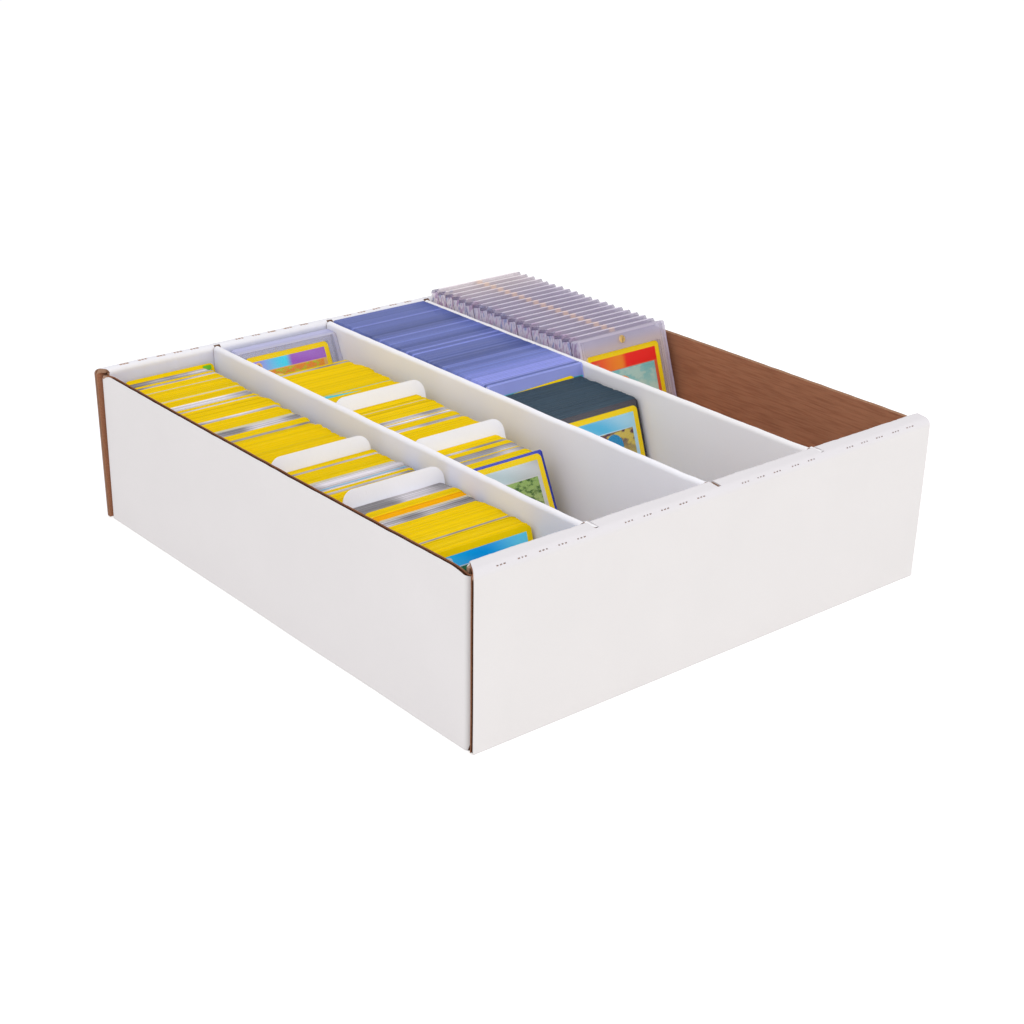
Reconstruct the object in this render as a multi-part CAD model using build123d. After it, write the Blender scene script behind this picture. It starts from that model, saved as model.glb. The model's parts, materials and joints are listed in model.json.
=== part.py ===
from build123d import *
import os
from dataclasses import dataclass
from math import cos, radians, sin, tan

# Open storage tray of folded corrugated board with four rows for collectable cards.
# Three folded dividers stand between the rows. The rows hold loose cards, index tabs,
# stiff card sheaths (toploaders), soft sleeves and thick magnetic holders.
# Frame: +X runs across the rows to the right-hand long wall, +Y along the rows to the
# far end wall, +Z up. The origin is the centre of the underside.

# Card, the measure for everything that holds one
card_width = 63.5
card_height = 88.9
card_thickness = 0.35
card_corner = 3.2
card_pitch = 0.42

# Index tabs, wider and taller than the cards
index_extra_width = 3.2
index_extra_height = 9.6
index_thickness = 0.6
index_corner = 8.0
index_width = card_width + index_extra_width
index_height = card_height + index_extra_height

# Soft sleeves
pocket_clearance = 0.1
sleeve_sheet = 0.2
sleeve_seam = 0.9
sleeve_side_room = 0.6
sleeve_top_room = 1.6
sleeve_corner = 1.0
sleeved_card_pitch = 0.55
sleeve_pocket = card_thickness + 2 * pocket_clearance
sleeve_width = card_width + 2 * (sleeve_side_room + sleeve_seam)
sleeve_height = sleeve_seam + pocket_clearance + card_height + sleeve_top_room
sleeve_thickness = 2 * sleeve_sheet + sleeve_pocket
row_3_sleeve_height = sleeve_height + 2.0

# Toploaders, stiff sheaths for one card
toploader_sheet = 0.7
toploader_pocket = 0.6
toploader_weld = 4.0
toploader_foot_weld = 2.0
toploader_side_room = 2.25
toploader_top_room = 10.5
toploader_corner = 1.5
toploader_width = card_width + 2 * (toploader_side_room + toploader_weld)
toploader_height = toploader_foot_weld + pocket_clearance + card_height + toploader_top_room
toploader_thickness = 2 * toploader_sheet + toploader_pocket

# Magnetic holders, thick cases for one card
holder_back_thickness = 4.6
holder_cover_thickness = 2.3
holder_cover_gap = 0.1
holder_side_room = 6.25
holder_foot_room = 7.0
holder_top_room = 12.1
holder_corner = 2.0
holder_recess_clearance = 0.4
holder_recess_corner = 1.0
magnet_radius = 2.5
magnet_thickness = 1.6
magnet_drop = 5.6
magnet_clearance = 0.05
holder_width = card_width + 2 * holder_side_room
holder_height = holder_foot_room + card_height + holder_top_room
holder_thickness = holder_back_thickness + holder_cover_gap + holder_cover_thickness

# Board of the tray. The end walls are a little lower than a toploader that stands straight.
board = 3.0
toploader_rise = 1.5
side_wall_step = 2.4
box_length = 376.0
near_end_room = 3.2
far_end_room = 0.2
panel_clearance = 0.4
fold_clearance = 0.2
corner_fold_inside = 2.0
underside_fold_radius = 2.0
outer_roll_inside = 1.0
inner_roll_inside = 0.2
corner_drop = 1.6
corner_drop_run = 12.0
flap_length = 70.0
flap_headroom = 1.2
end_wall_height = toploader_height - toploader_rise
side_wall_height = end_wall_height - side_wall_step
near_end_depth = 3 * board + near_end_room
far_end_depth = 3 * board + far_end_room
corner_fold_radius = board + corner_fold_inside
outer_roll_radius = board + outer_roll_inside
inner_roll_radius = board + inner_roll_inside

# Tongues that lock the inner end panels into the bottom panel
lock_tongue_width = 30.0
lock_tongue_offset = 110.0
lock_clearance = 0.3

# Folded dividers, with tabs on one leaf that drop into slots in the end walls
divider_leaf = 2.0
divider_inside = 0.6
divider_end_gap = 0.4
divider_tab_foot = 45.0
divider_tab_drop = 6.0
divider_tab_flush = 0.4
divider_tab_bevel = 1.0
tab_slot_clearance = 0.3
tab_notch_clearance = 1.2
divider_thickness = 2 * divider_leaf + divider_inside

# Spare width of each row beyond the card or the case that it is cut for
row_1_spare = 11.2
row_2_spare = 6.4
row_3_spare = 0.6
row_4_spare = 6.5

# Gaps along the rows: between neighbours that lean on each other, in front of the toploaders
# of rows 2 and 3, and on the floor in front of the front card of row 1
lean_gap = 0.3
row_2_pack_gap = 26.39
row_3_pack_gap = 0.4
row_1_near_room = 11.1

# How far up the front card of row 2's sheath stands
row_2_card_rise = 6.0

# Number of pieces in each stack. The last pack of row 1 fills the length that is left.
row_1_counts = (240, 170, 140)
row_2_counts = (182, 184, 68)
row_2_toploader_count = 3
row_3_toploader_count = 78
row_3_sleeved_count = 86
holder_count = 20

# Lean from upright towards the far end, in degrees
row_1_lean = 16.0
row_2_toploader_lean = 24.5
row_2_lean = 19.5
row_2_front_lean = 25.0
row_3_toploader_lean = 17.5
row_3_sleeved_lean = 17.5
row_3_front_lean = 18.5
row_4_lean = 18.0

# Place of each thing across its row, from the row's left side
row_1_pack_1_offset = 4.0
row_1_pack_2_offset = 4.0
row_1_pack_3_offset = 7.0
row_1_pack_4_offset = 8.8
row_1_index_1_offset = 0.5
row_1_index_2_offset = 5.5
row_2_toploader_right_gap = 0.5
row_2_card_shift = -1.5
row_2_pack_1_offset = 9.2
row_2_pack_2_offset = 5.7
row_2_pack_3_offset = 0.4
row_2_index_1_offset = 5.8
row_2_index_2_offset = 1.5
row_2_front_offset = 2.7
row_3_sleeved_offset = 7.2
row_3_front_offset = 7.4
row_4_stack_offset = 3.0
row_4_front_offset = 4.5

# Sizes worked out from the values above
floor = board
row_1_offsets = (row_1_pack_1_offset, row_1_pack_2_offset, row_1_pack_3_offset, row_1_pack_4_offset)
row_1_index_offsets = (row_1_index_1_offset, row_1_index_2_offset)
row_2_offsets = (row_2_pack_1_offset, row_2_pack_2_offset, row_2_pack_3_offset)
row_2_index_offsets = (row_2_index_1_offset, row_2_index_2_offset)
row_widths = (
    card_width + row_1_spare,
    toploader_width + row_2_spare,
    toploader_width + row_3_spare,
    holder_width + row_4_spare,
)
box_width = 2 * board + 3 * divider_thickness + sum(row_widths)
half_width = box_width / 2
half_length = box_length / 2
near_face = -half_length + near_end_depth
far_face = half_length - far_end_depth
row_lefts = []
divider_centres = []
cursor = -half_width + board
for width in row_widths:
    row_lefts.append(cursor)
    cursor += width + divider_thickness
    divider_centres.append(cursor - divider_thickness / 2)
divider_centres.pop()
wall_corner_height = side_wall_height - corner_drop
roll_underside = end_wall_height - board
divider_names = ("left_divider", "middle_divider", "right_divider")
tab_reaches = {-1: near_end_depth - board - divider_end_gap, 1: far_end_depth - board - divider_end_gap}

nodes = {}


def block(low, high):
    """Box between two corners."""
    size = [b - a for a, b in zip(low, high)]
    return Pos(*low) * Box(*size, align=(Align.MIN, Align.MIN, Align.MIN))


def along_x(x_low, x_high, profile):
    """Solid made by drawing a profile of Y and Z and pulling it from x_low to x_high."""
    return Pos(x_low, 0, 0) * extrude(Plane.YZ * profile, amount=x_high - x_low)


# Tray


def bottom_panel():
    """Floor of the tray, with open corners at the wall folds and slots for the lock tongues."""
    x, y = half_width - board, half_length - board
    panel = block((-x, -y, 0), (x, y, board))
    notch_x = corner_fold_radius - board + fold_clearance
    notch_y = corner_fold_radius + fold_clearance
    for sx in (-1, 1):
        for sy in (-1, 1):
            panel -= Pos(sx * x, sy * y, board / 2) * Box(2 * notch_x, 2 * notch_y, 2 * board)
    slot = lock_tongue_width + 2 * lock_clearance
    for face, side in ((near_face, -1), (far_face, 1)):
        for sx in (-1, 1):
            centre = Pos(sx * lock_tongue_offset, face + side * board / 2, board / 2)
            panel -= centre * Box(slot, board + 2 * lock_clearance, 2 * board)
    return panel


def side_wall(side):
    """Long wall, whose top edge drops towards both ends and whose ends curl round the corners."""
    y_fold = half_length - board - corner_fold_radius
    y_drop = y_fold - corner_drop_run
    outline = Line((-y_fold, 0), (y_fold, 0))
    outline += Line((y_fold, 0), (y_fold, wall_corner_height))
    far_drop = TangentArc((y_drop, side_wall_height), (y_fold, wall_corner_height), tangent=(1, 0))
    near_drop = TangentArc((-y_drop, side_wall_height), (-y_fold, wall_corner_height), tangent=(-1, 0))
    outline += [far_drop, Line((y_drop, side_wall_height), (-y_drop, side_wall_height)), near_drop]
    outline += Line((-y_fold, wall_corner_height), (-y_fold, 0))
    wall = along_x(half_width - board, half_width, make_face(outline))
    edge = wall.edges().filter_by(Axis.Y).sort_by(Axis.Z)[:2].sort_by(Axis.X)[-1]
    wall = fillet(edge, underside_fold_radius)
    for end in (-1, 1):
        centre = Pos(half_width - corner_fold_radius, end * y_fold, 0)
        ring = Cylinder(corner_fold_radius, wall_corner_height, align=(Align.CENTER, Align.CENTER, Align.MIN))
        ring -= Cylinder(
            corner_fold_radius - board, wall_corner_height, align=(Align.CENTER, Align.CENTER, Align.MIN)
        )
        quarter = block((0, min(0, end * corner_fold_radius), 0),
                        (corner_fold_radius, max(0, end * corner_fold_radius), wall_corner_height))
        wall += centre * (ring & quarter)
    return wall if side > 0 else mirror(wall, about=Plane.YZ)


def corner_flap(side, end):
    """Flap that runs on from a curled wall end and is held inside the rolled end wall."""
    x = sorted((side * (half_width - corner_fold_radius), side * (half_width - flap_length)))
    y = sorted((end * (half_length - board), end * (half_length - 2 * board)))
    return block((x[0], y[0], floor), (x[1], y[1], wall_corner_height - flap_headroom))


def end_outer_panel(end):
    """Outside panel of an end wall."""
    x = half_width - panel_clearance
    y = sorted((end * half_length, end * (half_length - board)))
    panel = block((-x, y[0], 0), (x, y[1], end_wall_height - outer_roll_radius))
    edges = panel.edges().filter_by(Axis.X).group_by(Axis.Z)[0].sort_by(Axis.Y)
    return fillet(edges[0] if end < 0 else edges[-1], underside_fold_radius)


def divider_leaf_centre(centre):
    """Middle of the divider's right-hand leaf, which carries the end tabs."""
    return centre + divider_thickness / 2 - divider_leaf / 2


def tab_slot(centre, end, z_low, z_high, clearance):
    """Cutting block for one divider tab at one end wall."""
    middle = divider_leaf_centre(centre)
    half = divider_leaf / 2 + clearance
    face = near_face if end < 0 else far_face
    reach = tab_reaches[end] + divider_end_gap
    y = sorted((face - end * 2 * board, face + end * reach))
    return block((middle - half, y[0], z_low), (middle + half, y[1], z_high))


def end_top_strip(end):
    """Rolled top of an end wall: flat strip between a wide outer bend and a tight inner bend."""
    depth = near_end_depth if end < 0 else far_end_depth
    top, under = end_wall_height, roll_underside
    inner_bend, outer_bend = inner_roll_radius - board, outer_roll_radius - board
    y_out, y_in = -half_length, -half_length + depth
    low_out, low_in = top - outer_roll_radius, top - inner_roll_radius
    profile = JernArc((y_out, low_out), (0, 1), outer_roll_radius, -90)
    profile += Line((y_out + outer_roll_radius, top), (y_in - inner_roll_radius, top))
    profile += JernArc((y_in - inner_roll_radius, top), (1, 0), inner_roll_radius, -90)
    profile += Line((y_in, low_in), (y_in - board, low_in))
    profile += JernArc((y_in - board, low_in), (0, 1), inner_bend, 90)
    profile += Line((y_in - inner_roll_radius, under), (y_out + outer_roll_radius, under))
    profile += JernArc((y_out + outer_roll_radius, under), (-1, 0), outer_bend, 90)
    profile += Line((y_out + board, low_out), (y_out, low_out))
    x = half_width - panel_clearance
    strip = along_x(-x, x, make_face(profile))
    if end > 0:
        strip = mirror(strip, about=Plane.XZ)
    clearance = tab_slot_clearance if end < 0 else tab_notch_clearance
    for centre in divider_centres:
        strip -= tab_slot(centre, end, low_in - board, top + board, clearance)
    return strip


def end_inner_panel(end):
    """Inside panel of an end wall, slotted for the divider tabs and locked into the floor."""
    face = near_face if end < 0 else far_face
    y = sorted((face, face + end * board))
    x = half_width - corner_fold_radius - fold_clearance
    top = end_wall_height - inner_roll_radius
    panel = block((-x, y[0], floor), (x, y[1], top))
    for sx in (-1, 1):
        centre = sx * lock_tongue_offset
        low = (centre - lock_tongue_width / 2, y[0], lock_clearance)
        panel += block(low, (centre + lock_tongue_width / 2, y[1], floor))
    for centre in divider_centres:
        panel -= tab_slot(centre, end, divider_tab_foot - tab_slot_clearance, top + board, tab_slot_clearance)
    return panel


def add_tray():
    """All panels of the folded tray."""
    nodes["bottom_panel"] = bottom_panel()
    for side, side_name in ((-1, "left"), (1, "right")):
        nodes[side_name + "_side_wall"] = side_wall(side)
        for end, end_name in ((-1, "near"), (1, "far")):
            nodes[f"{side_name}_{end_name}_corner_flap"] = corner_flap(side, end)
    for end, end_name in ((-1, "near"), (1, "far")):
        nodes[end_name + "_end_outer_panel"] = end_outer_panel(end)
        nodes[end_name + "_end_top_strip"] = end_top_strip(end)
        nodes[end_name + "_end_inner_panel"] = end_inner_panel(end)


# Dividers


def divider(centre, flush_near_tab):
    """Divider folded over at the top, with tabs on one leaf that drop into the end walls."""
    radius = divider_thickness / 2
    inner = radius - divider_leaf
    shoulder = end_wall_height - radius
    profile = JernArc((-radius, shoulder), (0, 1), radius, -180)
    profile += Polyline((radius, shoulder), (radius, floor), (inner, floor), (inner, shoulder))
    profile += JernArc((inner, shoulder), (0, 1), inner, 180)
    profile += Polyline((-inner, shoulder), (-inner, floor), (-radius, floor), (-radius, shoulder))
    y_low, y_high = near_face + divider_end_gap, far_face - divider_end_gap
    body = Pos(centre, y_high, 0) * extrude(Plane.XZ * make_face(profile), amount=y_high - y_low)
    middle = divider_leaf_centre(centre)
    for end, edge in ((-1, y_low), (1, y_high)):
        drop = divider_tab_flush if end < 0 and flush_near_tab else divider_tab_drop
        y = sorted((edge - end * radius, edge + end * tab_reaches[end]))
        body += block(
            (middle - divider_leaf / 2, y[0], divider_tab_foot),
            (middle + divider_leaf / 2, y[1], end_wall_height - max(drop, radius)),
        )
        if drop < radius:
            low = (middle - divider_leaf / 2, y[0], end_wall_height - radius)
            cap = block(low, (middle + divider_leaf / 2, y[1], end_wall_height - drop))
            outer_edge = cap.edges().filter_by(Axis.Y).group_by(Axis.Z)[-1].sort_by(Axis.X)[-1]
            body += fillet(outer_edge, divider_tab_bevel)
    return body


def add_dividers():
    """The three dividers. The middle one's near tab stands low, so its slit shows open."""
    for name, centre in zip(divider_names, divider_centres):
        nodes[name] = divider(centre, flush_near_tab=name != "middle_divider")


# Contents


@dataclass
class Edge:
    """Upper front edge of what was placed last: the next thing leans against it."""

    y: float
    z: float


def upright(width, height, corner):
    """Face of a card-like thing, standing on the origin."""
    return Pos(0, height / 2) * RectangleRounded(width, height, corner)


def leaning_plane(x_left, width, foot_y, lean):
    """Rear plane of a leaning thing: local X is across the row, local Y up, local Z to the front."""
    angle = radians(lean)
    return Plane((x_left + width / 2, foot_y, floor), x_dir=(1, 0, 0), z_dir=(0, -cos(angle), sin(angle)))


def foot_below(edge, lean, gap):
    """Y on the floor of a plane that leans and passes a gap in front of an edge."""
    return edge.y - gap - (edge.z - floor) * tan(radians(lean))


def front_edge(foot_y, lean, height, thickness):
    """Upper front edge of a leaning slab."""
    angle = radians(lean)
    return Edge(
        foot_y + height * sin(angle) - thickness * cos(angle),
        floor + height * cos(angle) + thickness * sin(angle),
    )


def pack(edge, x_left, lean, count, pitch, width, height, corner, gap=lean_gap):
    """Pack of loose cards that all stand on the floor: a leaning prism with a level underside."""
    foot = foot_below(edge, lean, gap)
    run = count * pitch / cos(radians(lean))
    plane = leaning_plane(x_left, width, foot, lean)
    solid = extrude(plane * upright(width, height, corner), amount=run, dir=(0, -1, 0))
    angle = radians(lean)
    return solid, Edge(foot - run + height * sin(angle), floor + height * cos(angle))


def slab(plane, width, height, corner, z_low, z_high):
    """Flat sheet on a leaning plane, between two depths."""
    return plane * (Pos(0, 0, z_low) * extrude(upright(width, height, corner), amount=z_high - z_low))


def index_tab(edge, x_left, lean):
    """Stiff index tab, taller than the cards."""
    foot = foot_below(edge, lean, lean_gap)
    plane = leaning_plane(x_left, index_width, foot, lean)
    solid = slab(plane, index_width, index_height, index_corner, 0, index_thickness)
    return solid, front_edge(foot, lean, index_height, index_thickness)


def sleeve(prefix, edge, x_left, lean, height=sleeve_height):
    """Soft sleeve of two sheets with seams on three sides, and the card in it."""
    foot = foot_below(edge, lean, lean_gap)
    plane = leaning_plane(x_left, sleeve_width, foot, lean)
    pocket, thickness = sleeve_pocket, sleeve_thickness
    back = slab(plane, sleeve_width, height, sleeve_corner, 0, sleeve_sheet)
    half, rise = sleeve_width / 2, height - sleeve_corner
    seams = [
        block((-half, sleeve_corner, sleeve_sheet), (-half + sleeve_seam, rise, sleeve_sheet + pocket)),
        block((half - sleeve_seam, sleeve_corner, sleeve_sheet), (half, rise, sleeve_sheet + pocket)),
        block((-half + sleeve_corner, 0, sleeve_sheet), (half - sleeve_corner, sleeve_seam, sleeve_sheet + pocket)),
    ]
    nodes[prefix + "_back"] = Compound([back] + [(plane * seam).solid() for seam in seams[:2]]
                                       + [(plane * (seams[2] - seams[0] - seams[1])).solid()])
    nodes[prefix + "_front"] = slab(
        plane, sleeve_width, height, sleeve_corner, thickness - sleeve_sheet, thickness
    )
    raised = plane * Pos(0, sleeve_seam + pocket_clearance, sleeve_sheet + pocket_clearance)
    nodes[prefix + "_card"] = raised * extrude(upright(card_width, card_height, card_corner), amount=card_thickness)
    return front_edge(foot, lean, height, thickness)


def toploader(prefix, edge, x_left, lean, card_rise=0.0, card_shift=0.0):
    """Stiff sheath of two sheets welded on three sides, and the card in it."""
    foot = foot_below(edge, lean, lean_gap)
    plane = leaning_plane(x_left, toploader_width, foot, lean)
    low, high = toploader_sheet, toploader_thickness - toploader_sheet
    back = slab(plane, toploader_width, toploader_height, toploader_corner, 0, low)
    half, rise = toploader_width / 2, toploader_height - toploader_corner
    welds = [
        block((-half, toploader_corner, low), (-half + toploader_weld, rise, high)),
        block((half - toploader_weld, toploader_corner, low), (half, rise, high)),
        block((-half + toploader_weld, 0, low), (half - toploader_weld, toploader_foot_weld, high)),
    ]
    nodes[prefix + "_back"] = Compound([back.solid()] + [(plane * weld).solid() for weld in welds])
    nodes[prefix + "_front"] = slab(
        plane, toploader_width, toploader_height, toploader_corner, high, toploader_thickness
    )
    depth = (toploader_thickness - card_thickness) / 2
    raised = plane * Pos(card_shift, toploader_foot_weld + pocket_clearance + card_rise, depth)
    nodes[prefix + "_card"] = raised * extrude(upright(card_width, card_height, card_corner), amount=card_thickness)
    return front_edge(foot, lean, toploader_height, toploader_thickness)


def toploader_stack(edge, x_left, lean, count):
    """Toploaders that stand close together, each a slab of its own."""
    sheaths = []
    angle = radians(lean)
    foot = foot_below(edge, lean, 0)
    step = toploader_thickness / cos(angle)
    for index in range(count):
        plane = leaning_plane(x_left, toploader_width, foot - index * step, lean)
        sheaths.append(
            slab(plane, toploader_width, toploader_height, toploader_corner, 0, toploader_thickness).solid()
        )
    last = foot - (count - 1) * step
    return Compound(sheaths), front_edge(last, lean, toploader_height, toploader_thickness)


def holder_pieces(plane):
    """Back shell, cover, magnets and card of one thick magnetic holder."""
    back = slab(plane, holder_width, holder_height, holder_corner, 0, holder_back_thickness)
    recess_depth = card_thickness + holder_cover_gap
    recess_width = card_width + 2 * holder_recess_clearance
    recess_height = card_height + 2 * holder_recess_clearance
    recess_foot = holder_foot_room - holder_recess_clearance
    low = holder_back_thickness - recess_depth
    back -= plane * (Pos(0, recess_foot, low) * extrude(upright(recess_width, recess_height, holder_recess_corner), amount=board))
    magnet_y = holder_height - magnet_drop
    cover_low = holder_thickness - holder_cover_thickness
    at_back = Pos(0, magnet_y, holder_back_thickness - magnet_thickness / 2)
    at_cover = Pos(0, magnet_y, cover_low + magnet_thickness / 2)
    hole = Cylinder(magnet_radius + magnet_clearance, magnet_thickness)
    disc = Cylinder(magnet_radius, magnet_thickness)
    back -= plane * (at_back * hole)
    cover = slab(plane, holder_width, holder_height, holder_corner, cover_low, holder_thickness)
    cover -= plane * (at_cover * hole)
    standing_card = extrude(upright(card_width, card_height, card_corner), amount=card_thickness)
    card = plane * (Pos(0, holder_foot_room, low) * standing_card)
    return {
        "back": back.solid(),
        "cover": cover.solid(),
        "back_magnet": (plane * (at_back * disc)).solid(),
        "cover_magnet": (plane * (at_cover * disc)).solid(),
        "card": card.solid(),
    }


def last_pack_count(edge, lean):
    """Cards that fit behind the front card of row 1, with the room on the floor in front of it."""
    angle = radians(lean)
    front_card = lean_gap + card_thickness / cos(angle)
    room = foot_below(edge, lean, lean_gap) - front_card - near_face - row_1_near_room
    return int(room * cos(angle) / card_pitch)


def add_row_1():
    """Loose cards with two index tabs and one card facing the near end."""
    left = row_lefts[0]
    edge = Edge(far_face, end_wall_height)
    indexes = iter(row_1_index_offsets)
    lean = row_1_lean
    for number, offset in enumerate(row_1_offsets, 1):
        if number > 2:
            tab, edge = index_tab(edge, left + next(indexes), lean)
            nodes[f"row_1_index_tab_{number - 2}"] = tab
        if number > len(row_1_counts):
            count = last_pack_count(edge, lean)
        else:
            count = row_1_counts[number - 1]
        solid, edge = pack(edge, left + offset, lean, count, card_pitch, card_width, card_height, card_corner)
        nodes[f"row_1_card_pack_{number}"] = solid
    foot = foot_below(edge, lean, lean_gap)
    plane = leaning_plane(left + row_1_pack_4_offset, card_width, foot, lean)
    nodes["row_1_front_card"] = slab(plane, card_width, card_height, card_corner, 0, card_thickness)


def add_row_2():
    """Toploaders at the far end, loose cards with two index tabs and a sleeved card in front."""
    left = row_lefts[1]
    x_loader = left + row_2_spare - row_2_toploader_right_gap
    edge = Edge(far_face - lean_gap, end_wall_height)
    nodes["row_2_toploader_stack"], edge = toploader_stack(
        edge, x_loader, row_2_toploader_lean, row_2_toploader_count
    )
    edge = toploader(
        "row_2_toploader", edge, x_loader, row_2_toploader_lean, row_2_card_rise, row_2_card_shift
    )
    gap = row_2_pack_gap
    indexes = iter(row_2_index_offsets)
    lean = row_2_lean
    for number, (count, offset) in enumerate(zip(row_2_counts, row_2_offsets), 1):
        if number > 1:
            tab, edge = index_tab(edge, left + next(indexes), lean)
            nodes[f"row_2_index_tab_{number - 1}"] = tab
        solid, edge = pack(
            edge, left + offset, lean, count, card_pitch, card_width, card_height, card_corner, gap
        )
        nodes[f"row_2_card_pack_{number}"] = solid
        gap = lean_gap
    sleeve("row_2_sleeve", edge, left + row_2_front_offset, row_2_front_lean)


def add_row_3():
    """A long stack of toploaders, a pack of sleeved cards and one sleeved card in front."""
    left = row_lefts[2]
    x_loader = left + row_3_spare / 2
    edge = Edge(far_face - lean_gap, end_wall_height)
    nodes["row_3_toploader_stack"], edge = toploader_stack(
        edge, x_loader, row_3_toploader_lean, row_3_toploader_count
    )
    edge = toploader("row_3_toploader", edge, x_loader, row_3_toploader_lean)
    solid, edge = pack(
        edge,
        left + row_3_sleeved_offset,
        row_3_sleeved_lean,
        row_3_sleeved_count,
        sleeved_card_pitch,
        sleeve_width,
        row_3_sleeve_height,
        sleeve_corner,
        row_3_pack_gap,
    )
    nodes["row_3_sleeved_pack"] = solid
    sleeve("row_3_sleeve", edge, left + row_3_front_offset, row_3_front_lean, row_3_sleeve_height)


def add_row_4():
    """Magnetic holders: all but the front one in one stack, the front one apart."""
    left = row_lefts[3]
    edge = Edge(far_face - lean_gap, end_wall_height)
    foot = foot_below(edge, row_4_lean, 0)
    step = (holder_thickness + lean_gap) / cos(radians(row_4_lean))
    stack = {}
    for index in range(holder_count - 1):
        plane = leaning_plane(left + row_4_stack_offset, holder_width, foot - index * step, row_4_lean)
        for name, solid in holder_pieces(plane).items():
            stack.setdefault(name, []).append(solid)
    for name, solids in stack.items():
        nodes[f"holder_stack_{name}s"] = Compound(solids)
    last = foot - (holder_count - 1) * step
    plane = leaning_plane(left + row_4_front_offset, holder_width, last, row_4_lean)
    for name, solid in holder_pieces(plane).items():
        nodes["front_holder_" + name] = solid


add_tray()
add_dividers()
add_row_1()
add_row_2()
add_row_3()
add_row_4()
os.makedirs("parts", exist_ok=True)
for name, shape in nodes.items():
    export_step(shape, f"parts/{name}.step")
print(len(nodes), "nodes; box", round(box_width, 2), "x", box_length, "x", end_wall_height, "mm")
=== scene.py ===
"""Open storage tray of corrugated board with four rows of collectable cards.

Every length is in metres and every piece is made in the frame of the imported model: +X across
the rows, +Y along them to the far end, +Z up, with the origin under the middle of the tray.
"""

import json
import logging
import math
import random
from collections.abc import Callable, Sequence
from dataclasses import dataclass
from enum import Enum

import bmesh
import bpy
from mathutils import Matrix, Vector, noise


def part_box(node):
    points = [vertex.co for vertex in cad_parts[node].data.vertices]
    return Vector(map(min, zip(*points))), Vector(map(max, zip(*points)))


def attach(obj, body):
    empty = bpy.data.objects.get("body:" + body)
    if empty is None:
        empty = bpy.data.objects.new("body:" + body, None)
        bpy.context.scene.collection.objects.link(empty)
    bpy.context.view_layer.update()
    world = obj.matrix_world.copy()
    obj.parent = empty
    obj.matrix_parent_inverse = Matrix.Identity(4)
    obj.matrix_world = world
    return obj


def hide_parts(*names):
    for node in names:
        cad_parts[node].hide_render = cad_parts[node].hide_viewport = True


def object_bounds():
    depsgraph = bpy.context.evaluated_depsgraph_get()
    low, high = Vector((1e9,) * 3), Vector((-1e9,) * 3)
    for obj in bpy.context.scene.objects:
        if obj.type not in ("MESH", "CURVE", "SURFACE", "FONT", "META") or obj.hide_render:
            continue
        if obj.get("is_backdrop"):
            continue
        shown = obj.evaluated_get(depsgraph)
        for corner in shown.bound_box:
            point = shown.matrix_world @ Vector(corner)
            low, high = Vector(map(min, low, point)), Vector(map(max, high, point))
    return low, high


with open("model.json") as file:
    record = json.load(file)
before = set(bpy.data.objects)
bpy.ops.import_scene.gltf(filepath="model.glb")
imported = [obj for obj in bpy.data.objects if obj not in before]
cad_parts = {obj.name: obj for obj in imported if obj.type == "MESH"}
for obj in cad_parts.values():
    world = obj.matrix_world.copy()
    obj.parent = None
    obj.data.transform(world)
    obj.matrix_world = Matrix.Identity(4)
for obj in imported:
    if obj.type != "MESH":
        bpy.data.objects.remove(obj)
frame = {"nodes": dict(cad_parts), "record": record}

LOG = logging.getLogger("card_storage_box")
MM = 0.001
TONE_LAYER = "tone"
Colour = tuple[float, float, float]
Triple = tuple[float, float, float]
Pair = tuple[float, float]
Piece = bpy.types.Object
Socket = bpy.types.NodeSocket
Material = bpy.types.Material


# Shader building


def operator(operation: str, swapped: bool = False) -> Callable[["Sock", "Sock | float"], "Sock"]:
    """Make an arithmetic method for value sockets.

    Args:
        operation: The Math node's operation.
        swapped: Whether the other value comes first.

    Returns:
        The method.
    """

    def method(own: "Sock", other: "Sock | float") -> "Sock":
        """Result of the operation with another value."""
        return own.maths(operation, *((other, own) if swapped else (own, other)))

    return method


class Sock:
    """One value socket of a material, which can be used in arithmetic."""

    __add__ = operator("ADD")
    __radd__ = operator("ADD", swapped=True)
    __sub__ = operator("SUBTRACT")
    __rsub__ = operator("SUBTRACT", swapped=True)
    __mul__ = operator("MULTIPLY")
    __rmul__ = operator("MULTIPLY", swapped=True)
    __gt__ = operator("GREATER_THAN")

    def __init__(self, tree: bpy.types.NodeTree, socket: Socket) -> None:
        """Wrap an output socket of a material's tree."""
        self.tree = tree
        self.socket = socket

    def maths(self, operation: str, *operands: "Sock | float") -> "Sock":
        """Result of one Math node, with its values or sockets in the node's order."""
        values = dict(enumerate(operands))
        node = NodeMaker(self.tree).node("ShaderNodeMath", {"operation": operation}, values)
        return Sock(self.tree, node.outputs[0])

    def sine(self) -> "Sock":
        """Sine of the value in radians."""
        return self.maths("SINE", self)

    def wave(self, pitch: float) -> "Sock":
        """Wave along the value, between 0 and 1."""
        return (self * (2 * math.pi / pitch)).sine() * 0.5 + 0.5

    def size(self) -> "Sock":
        """The value without its sign."""
        return self.maths("ABSOLUTE", self)

    def root(self) -> "Sock":
        """Square root of the value."""
        return self.maths("SQRT", self)

    def smooth(self, low: float, high: float) -> "Sock":
        """Soft step.

        Args:
            low: The value at which the step starts.
            high: The value at which it ends.

        Returns:
            0 below low, 1 above high, and a smooth ramp between them.
        """
        settings = {"interpolation_type": "SMOOTHSTEP", "clamp": True}
        values = {"Value": self, "From Min": low, "From Max": high}
        node = NodeMaker(self.tree).node("ShaderNodeMapRange", settings, values)
        return Sock(self.tree, node.outputs["Result"])

    def step(self, at: float, soft: float) -> "Sock":
        """Soft step in the middle of which the value passes a limit."""
        return self.smooth(at - soft, at + soft)


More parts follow.
